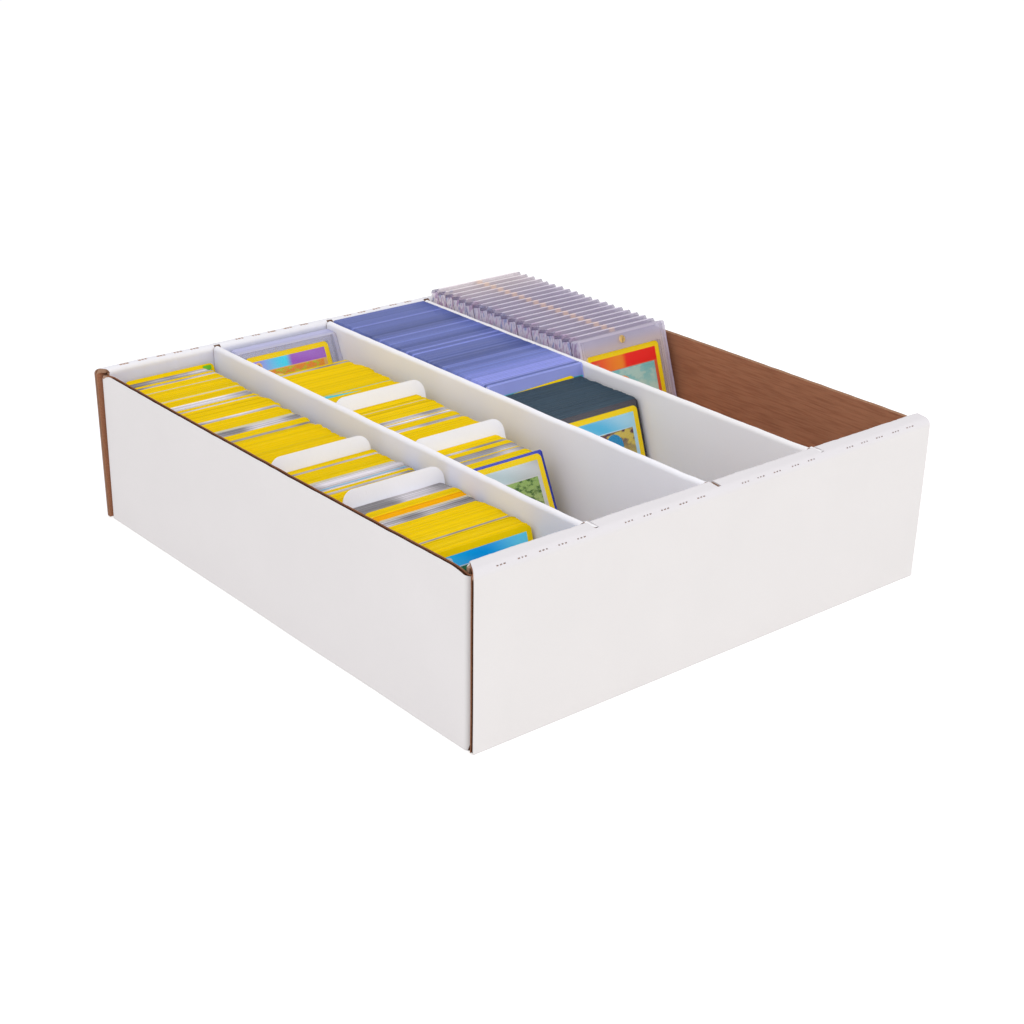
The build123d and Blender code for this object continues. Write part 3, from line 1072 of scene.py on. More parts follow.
def add_sheet(
    mesher: Mesher, rows: int, columns: int, spot: Callable[[int, int, float, Layer], Vector],
    layer: Layer, gap: Callable[[int, int], bool] = lambda row, column: False,
) -> None:
    """Add one layer of board as a closed shell.

    Args:
        mesher: Where it is added.
        rows: Number of points along the path.
        columns: Number of points across the path.
        spot: Gives a point from its row, column, depth and layer.
        layer: The layer.
        gap: Whether the cell after a row and a column is cut out.
    """
    sides = []
    for depth in (layer.low, layer.high):
        grid = [[spot(row, column, depth, layer) for column in range(columns)] for row in range(rows)]
        sides.append(mesher.grid(grid))
    outer, inner = sides

    def solid(row: int, column: int) -> bool:
        """Whether a cell is there."""
        return 0 <= row < rows - 1 and 0 <= column < columns - 1 and not gap(row, column)

    for row in range(rows - 1):
        for column in range(columns - 1):
            if not solid(row, column):
                continue
            cell = ((row, column), (row + 1, column), (row + 1, column + 1), (row, column + 1))
            mesher.add([outer[r][c] for r, c in cell], layer.outside)
            mesher.add([inner[r][c] for r, c in reversed(cell)], layer.inside)
            beside = ((row, column - 1), (row + 1, column), (row, column + 1), (row - 1, column))
            for number, near in enumerate(beside):
                if not solid(*near):
                    (r0, c0), (r1, c1) = cell[number], cell[(number + 1) % 4]
                    mesher.add((outer[r0][c0], inner[r0][c0], inner[r1][c1], outer[r1][c1]), layer.rim)


@dataclass(frozen=True)
class TearLine:
    """Dashed tear line along a crease, cut through the outer liner."""

    middles: tuple[float, ...]
    pitch: float
    hole: float
    hole_pitch: float
    reach: float
    dashes_each: int = 5
    holes_each: int = 3
    seed: int = 5

    def dashes(self) -> list[Pair]:
        """Left and right edges of every hole."""
        chance = random.Random(self.seed)
        edges = []
        for middle in self.middles:
            for dash in range(self.dashes_each):
                centre = middle + (dash - (self.dashes_each - 1) / 2) * self.pitch
                centre += chance.uniform(-0.8, 0.8) * MM
                for number in range(self.holes_each):
                    x = centre + (number - (self.holes_each - 1) / 2) * self.hole_pitch
                    half = self.hole * chance.uniform(0.38, 0.56)
                    edges.append((x - half, x + half))
        return edges


@dataclass(frozen=True)
class End:
    """What each rolled end wall has of its own; way is -1 for the near one and 1 for the far one."""

    name: str
    way: int
    depth: float
    slant: float
    puff: float
    foot_flare: float
    head_flare: float
    layers: tuple[Layer, ...]
    tear: TearLine
    liner: LinerFinish
    cut: FluteFinish


ENDS = (
    End(
        "near", way=-1, depth=12.2 * MM, slant=6.2 * MM, puff=1.4 * MM, foot_flare=1.6 * MM,
        head_flare=2.4 * MM, layers=board_layers(0.7 * MM, 2, 0.7 * MM),
        tear=TearLine(
            (-124.4 * MM, -41.1 * MM, 43.4 * MM, 127.7 * MM),
            pitch=13.1 * MM, hole=1.35 * MM, hole_pitch=2.2 * MM, reach=0.3 * MM,
        ),
        liner=FINISH.end_liner, cut=FINISH.cut_edge,
    ),
    End(
        "far", way=1, depth=9.2 * MM, slant=5.2 * MM, puff=0.28 * MM, foot_flare=1.2 * MM,
        head_flare=1.4 * MM, layers=board_layers(0.15 * MM, 3),
        tear=TearLine(
            (-126.7 * MM, -43.6 * MM, 41.2 * MM, 126.0 * MM),
            pitch=12.7 * MM, hole=2.0 * MM, hole_pitch=2.15 * MM, reach=1.1 * MM,
        ),
        liner=FINISH.far_liner, cut=FINISH.far_cut_edge,
    ),
)


@dataclass
class Tray:
    """The folded tray: bottom, two long walls and two rolled end walls."""

    half_width: float = 168.0 * MM
    half_length: float = 188.0 * MM
    wall_height: float = 97.6 * MM
    corner_height: float = 96.0 * MM
    end_height: float = 100.0 * MM
    board: float = 3.0 * MM
    corner_radius: float = 5.0 * MM
    corner_run: float = 12.0 * MM
    flap_length: float = 70.0 * MM
    fold_gap: float = 0.2 * MM
    flap_height: float = 91.6 * MM
    outer_roll: float = 4.0 * MM
    inner_roll: float = 3.2 * MM
    end_inset: float = 0.4 * MM
    slot_floor: float = 44.7 * MM
    slot_reach: float = 185.0 * MM
    slot_half: float = 1.3 * MM
    notch_half: float = 2.2 * MM
    levels: tuple[float, ...] = (0.0, 0.08, 0.2, 0.35, 0.5, 0.64, 0.76, 0.86, 0.93, 0.97, 1.0)
    edge_rough: Ripple = Ripple(0.22 * MM, 90, 90)
    edge_fibre: Ripple = Ripple(0.12 * MM, 700, 300)
    wall_wave: Ripple = Ripple(0.35 * MM, 14, 22)
    bow: float = 1.2 * MM
    bow_power: float = 1.5
    torn_drop: float = 2.4 * MM
    torn_from: float = 175.0 * MM
    torn_run: float = 6.0 * MM
    splay: float = 3.0 * MM
    foot_cut: float = 3.2 * MM
    foot_cut_run: float = 2.0 * MM
    roll_height: float = 10.0 * MM
    crest_wave: Ripple = Ripple(0.4 * MM, 26)
    crest_fibre: Ripple = Ripple(0.14 * MM, 150, 90)
    panel_swell: Ripple = Ripple(0.4 * MM, 9, 14)
    swell_run: float = 20.0 * MM
    inner_edge_share: float = 0.8
    inner_wave: Ripple = Ripple(0.45 * MM, 70)
    inner_fibre: Ripple = Ripple(0.55 * MM, 260)
    flare_from: float = 150.0 * MM
    flare_run: float = 18.0 * MM
    far_crease_shift: float = 0.5 * MM
    leaf_centres: tuple[float, ...] = (-86.7 * MM, 0.3 * MM, 81.5 * MM)
    station_step: float = 4.0 * MM

    def build(self) -> None:
        """Make and dress every panel."""
        self.side_wall("left", -1)
        self.side_wall("right", 1)
        for end in ENDS:
            self.end_wall(end)
        dress("bottom_panel", FINISH.floor)

    def wall_top(self, y: float) -> float:
        """Height of a long wall.

        Args:
            y: Place along the wall.

        Returns:
            Height of its top edge there, which drops in an arc at the ends.
        """
        past = abs(y) - (self.half_length - self.board - self.corner_radius - self.corner_run)
        if past <= 0:
            return self.wall_height
        drop = self.wall_height - self.corner_height
        share = min(past / self.corner_run, 1.0)
        return self.wall_height - drop * share * share

    def side_wall(self, name: str, side: int) -> None:
        """Make a long wall with its curled ends and flaps.

        Args:
            name: Which wall.
            side: -1 for the left one, 1 for the right one.
        """
        x, y = self.half_width, self.half_length - self.board
        radius = self.corner_radius
        flap = x - self.flap_length
        path = Path((flap, -y)).line((x - radius, -y), step=8 * MM)
        path.arc((x - radius, -y + radius), turn=90, count=8)
        path.line((x, y - radius), step=3.2 * MM)
        path.arc((x - radius, y - radius), turn=90, count=8)
        path.line((flap, y), step=8 * MM).close(1)
        flat = y - radius
        seed = 11.0 + side

        def spot(row: int, column: int, depth: float, layer: Layer) -> Vector:
            """Point of the wall."""
            point, inwards = path.points[row], path.inwards[row]
            at = point + inwards * depth
            if abs(point.y) > y - 1e-6 and point.x < x - radius - 1e-6:
                top, foot = self.flap_height, self.board
            else:
                top, foot = self.wall_top(point.y), 0.0
            rough = self.edge_rough.at(seed, point.y, point.x) + self.edge_fibre.at(seed, point.y, depth)
            if side < 0 and not layer.low:
                top -= self.torn_drop * clamped((point.y - self.torn_from) / self.torn_run)
                if point.y < self.foot_cut_run - y:
                    foot = self.foot_cut
            height = foot + (top + rough - layer.set_back - foot) * self.levels[column]
            share = max(0.0, 1 - (point.y / flat) ** 2)
            out = self.bow * share * (height / self.wall_height) ** self.bow_power
            if side > 0 and abs(point.y) < y - 1e-6:
                out += self.splay * (height / self.wall_height) * min(1.0, (y - abs(point.y)) / radius)
            wave = self.wall_wave.at(seed, point.y, height) * share
            return Vector((side * (at.x + out + wave), at.y, height))

        mesher = Mesher()
        for layer in board_layers(0.9 * MM, 2) if side < 0 else board_layers(0.12 * MM, 3):
            add_sheet(mesher, len(path.points), len(self.levels), spot, layer)
        liners = (FINISH.side_liner, FINISH.kraft, FINISH.side_flute, FINISH.cut_edge)
        piece = mesher.build(name + "_side_board", liners)
        flaps = [f"{name}_{end}_corner_flap" for end in ("near", "far")]
        seat(piece, "tray", "white_board", name + "_side_wall", *flaps)

    def end_profile(self, depth: float) -> Path:
        """Outline of a rolled end wall, from the outer foot over the top to the inner foot.

        Args:
            depth: Thickness of the rolled wall.

        Returns:
            The path, with X outwards from the tray's inside and Y up.
        """
        outside, top = self.half_length, self.end_height
        inside = outside - depth
        path = Path((outside, 0.0)).line((outside, top - self.outer_roll), step=6 * MM)
        path.arc((outside - self.outer_roll, top - self.outer_roll), turn=90, count=9)
        path.line((inside + self.inner_roll, top), step=1 * MM)
        path.arc((inside + self.inner_roll, top - self.inner_roll), turn=90, count=8)
        return path.line((inside, self.board), step=3 * MM).close(1)

    def stations(self, dashes: Sequence[Pair]) -> list[float]:
        """Places across an end wall where its sheet has points.

        Args:
            dashes: Left and right edges of the holes of its tear line.

        Returns:
            The places in order, with the edges of every slot and hole among them.
        """
        half = self.half_width - self.end_inset
        marks = {-half, half}
        for centre in self.leaf_centres:
            for width in (self.slot_half, self.notch_half):
                marks.update((centre - width, centre + width))
        for dash in dashes:
            marks.update(dash)
        ordered = sorted(marks)
        places = []
        for start, finish in zip(ordered, ordered[1:]):
            count = max(1, round((finish - start) / self.station_step))
            places.extend(start + (finish - start) * step / count for step in range(count))
        return [*places, half]

    def end_wall(self, end: End) -> None:
        """Make a rolled end wall of one continuous sheet.

        Args:
            end: Which end.
        """
        mesher = Mesher()
        for layer in end.layers:
            self.end_layer(mesher, end, layer)
        piece = mesher.build(end.name + "_end_board", (end.liner, FINISH.kraft, FINISH.end_flute, end.cut))
        nodes = [f"{end.name}_end_{part}" for part in ("outer_panel", "top_strip", "inner_panel")]
        seat(piece, "tray", "white_board", *nodes)

    def end_layer(self, mesher: Mesher, end: End, layer: Layer) -> None:
        """Add one layer of a rolled end wall.

        Args:
            mesher: Where it is added.
            end: Which end.
            layer: The layer.
        """
        path = self.end_profile(end.depth)
        dashes = [] if layer.low else end.tear.dashes()
        places = self.stations(dashes)
        outside, inside = self.half_length, self.half_length - end.depth
        narrow = self.half_width - self.corner_radius - self.fold_gap
        crest = self.end_height - self.inner_roll
        seed = 31.0 + end.way
        bend = self.outer_roll * (1 - math.sqrt(0.5))
        crease = Vector((outside - bend, self.end_height - bend))
        if end.way > 0:
            crease = Vector((inside + self.inner_roll + self.far_crease_shift, self.end_height))

        def spot(row: int, column: int, deep: float, own: Layer) -> Vector:
            """Point of the end wall."""
            point = path.points[row]
            at = point + path.inwards[row] * deep
            share = clamped((outside - point.x) / end.depth)
            right = self.half_width - self.end_inset - own.set_back
            left = -right
            if point.x < inside + 1e-6 and point.y < crest:
                left, right = -narrow - own.set_back, narrow - own.set_back
            else:
                left += end.slant * share
            x = max(left, min(right, places[column]))
            flare = end.foot_flare + end.head_flare * point.y / self.end_height
            x -= end.way * flare * max(0.0, (-end.way * x - self.flare_from) / self.flare_run) ** 2
            rise = max(0.0, point.y - self.end_height + self.roll_height) / self.roll_height
            lift = self.crest_wave.at(seed, x) + self.crest_fibre.at(seed, x, point.x)
            lift = (lift + end.puff * share) * rise
            swell = self.panel_swell.at(seed, x, point.y) * min(1.0, point.y / self.swell_run) * (1 - rise)
            if share > self.inner_edge_share:
                swell = (self.inner_wave.at(seed, x, 5.0) + self.inner_fibre.at(seed, x, 9.0)) * rise
            return Vector((x, end.way * (at.x + swell), at.y + lift))

        def gap(row: int, column: int) -> bool:
            """Whether a cell lies in a slot for a divider's tab or in a tear hole."""
            middle = (path.points[row] + path.points[row + 1]) / 2
            across = (places[column] + places[column + 1]) / 2
            if (middle - crease).length < end.tear.reach:
                return any(start < across < finish for start, finish in dashes)
            if middle.x > self.slot_reach or middle.y < self.slot_floor:
                return False
            half = self.notch_half if end.way > 0 and middle.y > crest else self.slot_half
            return any(abs(across - centre) < half for centre in self.leaf_centres)

        add_sheet(mesher, len(path.points), len(places), spot, layer, gap)


# Geometry Nodes


class Tree(NodeMaker):
    """A Geometry Nodes tree in the making."""

    def __init__(self, name: str, inputs: Sequence[tuple[str, str]]) -> None:
        """Make a tree with named inputs and a geometry output.

        Args:
            name: The tree's name.
            inputs: Name of each input and type of its socket, such as Float.
        """
        super().__init__(bpy.data.node_groups.new(name, "GeometryNodeTree"))
        sockets = self.tree.interface
        sockets.new_socket("Geometry", in_out="OUTPUT", socket_type="NodeSocketGeometry")
        self.entry = self.tree.nodes.new("NodeGroupInput")
        self.exit = self.tree.nodes.new("NodeGroupOutput")
        self.keys: dict[str, str] = {}
        for key, kind in inputs:
            socket = sockets.new_socket(key, in_out="INPUT", socket_type="NodeSocket" + kind)
            self.keys[key] = socket.identifier

    def given(self, name: str) -> Socket:
        """The socket of a named input."""
        return self.entry.outputs[name]

    def maths(self, operation: str, *operands: Socket | float) -> Socket:
        """Result of one Math node."""
        settings = {"operation": operation}
        return self.node("ShaderNodeMath", settings, dict(enumerate(operands))).outputs[0]

    def vector(self, *parts: Socket | float) -> Socket:
        """A vector of up to three parts."""
        return self.node("ShaderNodeCombineXYZ", None, dict(enumerate(parts))).outputs[0]

    def index(self) -> Socket:
        """Number of the copy."""
        return self.node("GeometryNodeInputIndex").outputs[0]

    def finish(self, geometry: Socket) -> None:
        """Realize the copies, set their finish and end the tree.

        Args:
            geometry: The geometry socket to end with.
        """
        real = self.node("GeometryNodeRealizeInstances", None, {"Geometry": geometry})
        values = {"Geometry": real.outputs[0], "Material": self.given("Finish")}
        last = self.node("GeometryNodeSetMaterial", None, values)
        self.tree.links.new(last.outputs[0], self.exit.inputs[0])

    def run(self, name: str, **inputs: object) -> bpy.types.Mesh:
        """Run the tree on an empty object.

        Args:
            name: Name of the new mesh.
            inputs: Values by input name.

        Returns:
            The mesh that the tree makes.
        """
        carrier = new_object(name + "_carrier", bpy.data.meshes.new(name + "_carrier"))
        modifier = carrier.modifiers.new("tree", "NODES")
        modifier.node_group = self.tree
        for key, value in inputs.items():
            modifier[self.keys[key]] = value
        evaluated = carrier.evaluated_get(bpy.context.evaluated_depsgraph_get())
        mesh = bpy.data.meshes.new_from_object(evaluated)
        mesh.name = name
        carrier.modifiers.clear()
        bpy.data.objects.remove(carrier)
        return mesh


class StackTree(Tree):
    """Stands copies of one thing behind each other, each a little out of line."""

    INPUTS = (
        ("Item", "Object"), ("Count", "Int"), ("Step", "Float"), ("Lean", "Float"), ("Sway", "Float"),
        ("Drift", "Float"), ("Steps", "Float"), ("Rise", "Float"), ("Seed", "Int"), ("Finish", "Material"),
    )

    def __init__(self) -> None:
        """Build the tree."""
        super().__init__("stack_of_copies", self.INPUTS)
        offset = self.vector(0.0, self.maths("MULTIPLY", self.given("Step"), -1.0))
        values = {"Count": self.given("Count"), "Offset": offset}
        line = self.node("GeometryNodeMeshLine", {"mode": "OFFSET"}, values)
        values = {"Geometry": line.outputs[0], "Offset": self.shift()}
        placed = self.node("GeometryNodeSetPosition", None, values)
        item = self.node("GeometryNodeObjectInfo", None, {"Object": self.given("Item")})
        values = {"Points": placed.outputs[0], "Instance": item.outputs["Geometry"]}
        self.finish(self.node("GeometryNodeInstanceOnPoints", None, values).outputs[0])

    def chance(self, low: float, high: float, extra: int, group: float = 0.0) -> Socket:
        """A random number for each copy, or for each run of copies.

        Args:
            low: Its lowest value.
            high: Its highest value.
            extra: Number added to the seed.
            group: Number of copies in a run, 0 for each copy on its own.

        Returns:
            The random socket.
        """
        seed = self.maths("ADD", self.given("Seed"), float(extra))
        values = {2: low, 3: high, "Seed": seed}
        if group:
            values["ID"] = self.maths("FLOOR", self.maths("DIVIDE", self.index(), group))
        return self.node("FunctionNodeRandomValue", {"data_type": "FLOAT"}, values).outputs[1]

    def shift(self) -> Socket:
        """How far each copy is out of line: across at random and in slow waves, and up its lean."""
        jump = self.maths("MULTIPLY", self.chance(-1.0, 1.0, 0), self.given("Sway"))
        spot = self.vector(self.index(), self.given("Seed"))
        values = {"Vector": spot, "Scale": 0.09, "Detail": 1.0}
        wave = self.node("ShaderNodeTexNoise", {"noise_dimensions": "2D"}, values).outputs[0]
        slow = self.maths("MULTIPLY", self.maths("SUBTRACT", wave, 0.5), self.given("Drift"))
        runs = self.maths("ADD", self.chance(-1.0, 1.0, 3, 11.0), self.chance(-1.0, 1.0, 4, 27.0))
        across = self.maths("ADD", jump, slow)
        across = self.maths("ADD", across, self.maths("MULTIPLY", runs, self.given("Steps")))
        share = self.maths("POWER", self.chance(0.0, 1.0, 7), 3.0)
        share = self.maths("ADD", share, self.maths("MULTIPLY", self.chance(-1.0, 1.0, 5, 19.0), 0.5))
        rise = self.maths("MULTIPLY", share, self.given("Rise"))
        lean = self.given("Lean")
        along = self.maths("MULTIPLY", rise, self.maths("SINE", lean))
        return self.vector(across, along, self.maths("MULTIPLY", rise, self.maths("COSINE", lean)))


@dataclass
class Dividers:
    """Three dividers, each a sheet folded over at the top with tabs on its right leaf."""

    centres: tuple[tuple[str, float], ...] = (
        ("left_divider", -88.0 * MM), ("middle_divider", -1.0 * MM), ("right_divider", 80.2 * MM)
    )
    thickness: float = 4.6 * MM
    leaf: float = 2.0 * MM
    foot: float = 3.0 * MM
    top: float = 100.0 * MM
    near_edge: float = -175.4 * MM
    far_edge: float = 178.4 * MM
    columns: int = 90
    tab_foot: float = 45.0 * MM
    tab_drop: float = 6.0 * MM
    tab_rise: float = 0.3 * MM
    wavy_from: float = 85.0 * MM
    wavy_run: float = 15.0 * MM
    steady_ends: float = 12.0 * MM
    sag: float = 0.25 * MM
    top_wave: Ripple = Ripple(0.45 * MM, 30)
    top_fibre: Ripple = Ripple(0.22 * MM, 130)
    sway_wave: Ripple = Ripple(0.3 * MM, 12)
    sway_fibre: Ripple = Ripple(0.1 * MM, 60, 40)

    def build(self) -> None:
        """Make every divider."""
        for name, centre in self.centres:
            self.divider(name, centre)

    def divider(self, name: str, centre: float) -> None:
        """Make one divider.

        Args:
            name: Its node's name.
            centre: Its middle across the tray.
        """
        half = self.thickness / 2
        shoulder = self.top - half
        path = Path((-half, self.foot)).line((-half, shoulder - 8 * MM), step=11 * MM)
        path.line((-half, shoulder), step=2 * MM).arc((0.0, shoulder), turn=-180, count=14)
        path.line((half, shoulder - 8 * MM), step=2 * MM)
        path.line((half, self.foot), step=11 * MM).close(-1)
        span = self.far_edge - self.near_edge
        seed = 51.0 + centre * 40
        layers = (
            Layer(0.0, 0.3 * MM, 0.0, 0, 1, 1),
            Layer(0.3 * MM, 1.7 * MM, 0.6 * MM, 2, 2, 2),
            Layer(1.7 * MM, 2.0 * MM, 0.05 * MM, 1, 1, 1),
        )

        def spot(row: int, column: int, depth: float, layer: Layer) -> Vector:
            """Point of the divider."""
            point, inwards = path.points[row], path.inwards[row]
            at = point + inwards * depth
            y = self.near_edge + span * column / (self.columns - 1)
            edge = min(y - self.near_edge, self.far_edge - y)
            if edge < layer.set_back:
                y += layer.set_back if y < 0 else -layer.set_back
            high = max(0.0, (point.y - self.wavy_from) / self.wavy_run)
            fade = min(1.0, edge / self.steady_ends)
            lift = self.top_wave.at(seed, y) + self.top_fibre.at(seed, y, 3.0)
            sway = self.sway_wave.at(seed, y, 7.0) * high + self.sway_fibre.at(seed, y, point.y)
            return Vector((centre + at.x + sway * fade, y, at.y + (lift - self.sag) * high * fade))

        mesher = Mesher()
        for layer in layers:
            add_sheet(mesher, len(path.points), self.columns, spot, layer)
        self.tabs(mesher, name, centre)
        own = {"left_divider": FINISH.yellow_side_liner, "middle_divider": FINISH.middle_liner}
        liner = own.get(name, FINISH.divider_liner)
        piece = mesher.build(name + "_board", (liner, FINISH.kraft, FINISH.flute))
        seat(piece, name, "white_board", name)

    def tabs(self, mesher: Mesher, name: str, centre: float) -> None:
        """Add the tabs at both ends.

        Args:
            mesher: Where they are added.
            name: The divider's name.
            centre: The divider's middle.
        """
        low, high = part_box(name)
        right = centre + self.thickness / 2
        left = right - self.leaf
        for end, edge, tip in ((-1, self.near_edge, low.y), (1, self.far_edge, high.y)):
            flush = end < 0 and name != "middle_divider"
            top = self.top + self.tab_rise if flush else self.top - self.tab_drop
            inner = edge + end * 0.02 * MM
            heights, depths, sides = (self.tab_foot, top), (inner, tip), (left, right)
            index = mesher.grid([[Vector((x, y, z)) for z in heights for y in depths for x in sides]])[0]
            for face, slot in (
                ((0, 2, 6, 4), 1),
                ((1, 3, 7, 5), 0),
                ((2, 3, 7, 6), 2),
                ((0, 1, 5, 4), 2),
                ((0, 1, 3, 2), 2),
                ((4, 5, 7, 6), 0 if flush else 2),
            ):
                mesher.add([index[corner] for corner in face], slot)


# Contents

HALF_LENGTH_MM = 188.0


class Tone(Enum):
    """Colours that the edges in a stack take."""

    YELLOW = (0.90, 0.665, 0.0)
    AMBER = (0.98, 0.52, 0.0)
    SILVER = (0.56, 0.535, 0.57)
    PALE = (0.72, 0.68, 0.55)
    CYAN = (0.15, 0.55, 0.80)
    DARK_BLUE = (0.085, 0.12, 0.37)
    BLUE = (0.122, 0.165, 0.46)
    MIDDLE_BLUE = (0.165, 0.215, 0.56)
    LIGHT_BLUE = (0.24, 0.29, 0.72)
    FRONT_BLUE = (0.31, 0.355, 0.82)
    SLATE = (0.043, 0.08, 0.118)
    LAVENDER = (0.46, 0.46, 0.66)


@dataclass(frozen=True)
class Band:
    """Part of a stack along its row, by the place of its top edge, and its tone."""

    start: float
    finish: float
    tone: Tone


def bands(*parts: tuple[float, float, Tone]) -> tuple[Band, ...]:
    """Bands by start, finish and tone, given in millimetres from the outer near end of the tray."""
    return tuple(Band((a - HALF_LENGTH_MM) * MM, (b - HALF_LENGTH_MM) * MM, tone) for a, b, tone in parts)


@dataclass
class Stack:
    """Copies of one flat thing that lean on each other, or stand in cases of another height."""

    node: str
    body: str
    slot: str
    plate: Plate
    pitch: float
    count: int
    lean: float
    finish: object
    tones: tuple[Band, ...] = ()
    base: Tone = Tone.YELLOW
    sway: float = 0.35 * MM
    drift: float = 2.4 * MM
    steps: float = 0.0
    rise: float = 0.5 * MM
    seed: int = 1
    spread: float = 0.08
    segments: int = 2
    foot: float = 0.0
    case: float = 0.0
    foil_factors: tuple[float, ...] = (0.8, 0.95, 1.0, 1.2, 1.3)
    dull_share: float = 0.09
    dull_factor: float = 0.82

    def item(self) -> Piece:
        """One thing of the stack, leaning, with its rear lower edge on the origin."""
        mesher = Mesher()
        axes = leaning(self.lean, Vector()) @ Matrix.Translation((0, self.foot, 0))
        add_slab(mesher, axes, self.plate.outline(self.segments), 0.0, self.plate.thickness)
        return mesher.build(self.node + "_item", (self.finish,))

    def build(self, name: str, replace: bool = True, inset: float = 0.0) -> Piece:
        """Make the stack.

        Args:
            name: The piece's name.
            replace: Whether it stands for its node.
            inset: How far each copy is moved out of its front.

        Returns:
            The piece.
        """
        item = self.item()
        faces = len(item.data.polygons)
        angle = math.radians(self.lean)
        mesh = STACKS.run(
            name,
            Item=item,
            Count=self.count,
            Step=self.pitch / math.cos(angle),
            Lean=angle,
            Sway=self.sway,
            Drift=self.drift,
            Steps=self.steps,
            Rise=self.rise,
            Seed=self.seed,
            Finish=PALETTE(self.finish),
        )
        bpy.data.objects.remove(item)
        start = leaning_node(self.node, self.lean, self.case or self.plate.height)
        mesh.transform(Matrix.Translation(start @ Vector((0, 0, inset)) if inset else start.translation))
        self.paint(mesh, faces)
        return seat(new_object(name, mesh), self.body, self.slot, *([self.node] if replace else []))

    def paint(self, mesh: bpy.types.Mesh, faces: int) -> None:
        """Give each copy its tone.

        Args:
            mesh: The stack's mesh.
            faces: Number of faces in one copy.
        """
        layer = mesh.attributes.new(TONE_LAYER, "FLOAT_COLOR", "FACE")
        chance = random.Random(self.seed)
        top = self.plate.height * math.sin(math.radians(self.lean))
        colours: list[float] = []
        for copy in range(len(mesh.polygons) // faces):
            first = mesh.polygons[copy * faces]
            place = min(mesh.vertices[index].co.y for index in first.vertices) + top
            tone = self.base
            for band in self.tones:
                if band.start <= place < band.finish:
                    tone = band.tone
            factor = 1.0 + chance.uniform(-self.spread, self.spread)
            # Silver edges are flagged for the finish's painted sheen.
            foil = 1.0 if tone is Tone.SILVER else 0.0
            if foil:
                factor *= chance.choice(self.foil_factors)
            elif chance.random() < self.dull_share:
                factor *= self.dull_factor
            colour = [channel * factor for channel in tone.value]
            colours.extend([*colour, foil] * faces)
        layer.data.foreach_set("color", colours)


STACKS = StackTree()
CARD = Plate(width=63.5 * MM, height=88.9 * MM, thickness=0.35 * MM, corner=3.2 * MM)
CARD_PITCH = 0.42 * MM


def loose_plate(
    name: str, body: str, place: Matrix, plate: Plate, finish: object, segments: int = 4
) -> Piece:
    """Add a single flat thing of card stock.

    Args:
        name: The piece's name.
        body: The body that it moves with.
        place: Axes of its back.
        plate: Its sizes.
        finish: Its finish.
        segments: Straight pieces in each corner.

    Returns:
        The piece.
    """
    mesher = Mesher()
    add_slab(mesher, place, plate.outline(segments), 0.0, plate.thickness)
    return seat(mesher.build(name, (finish,)), body, "card_stock")


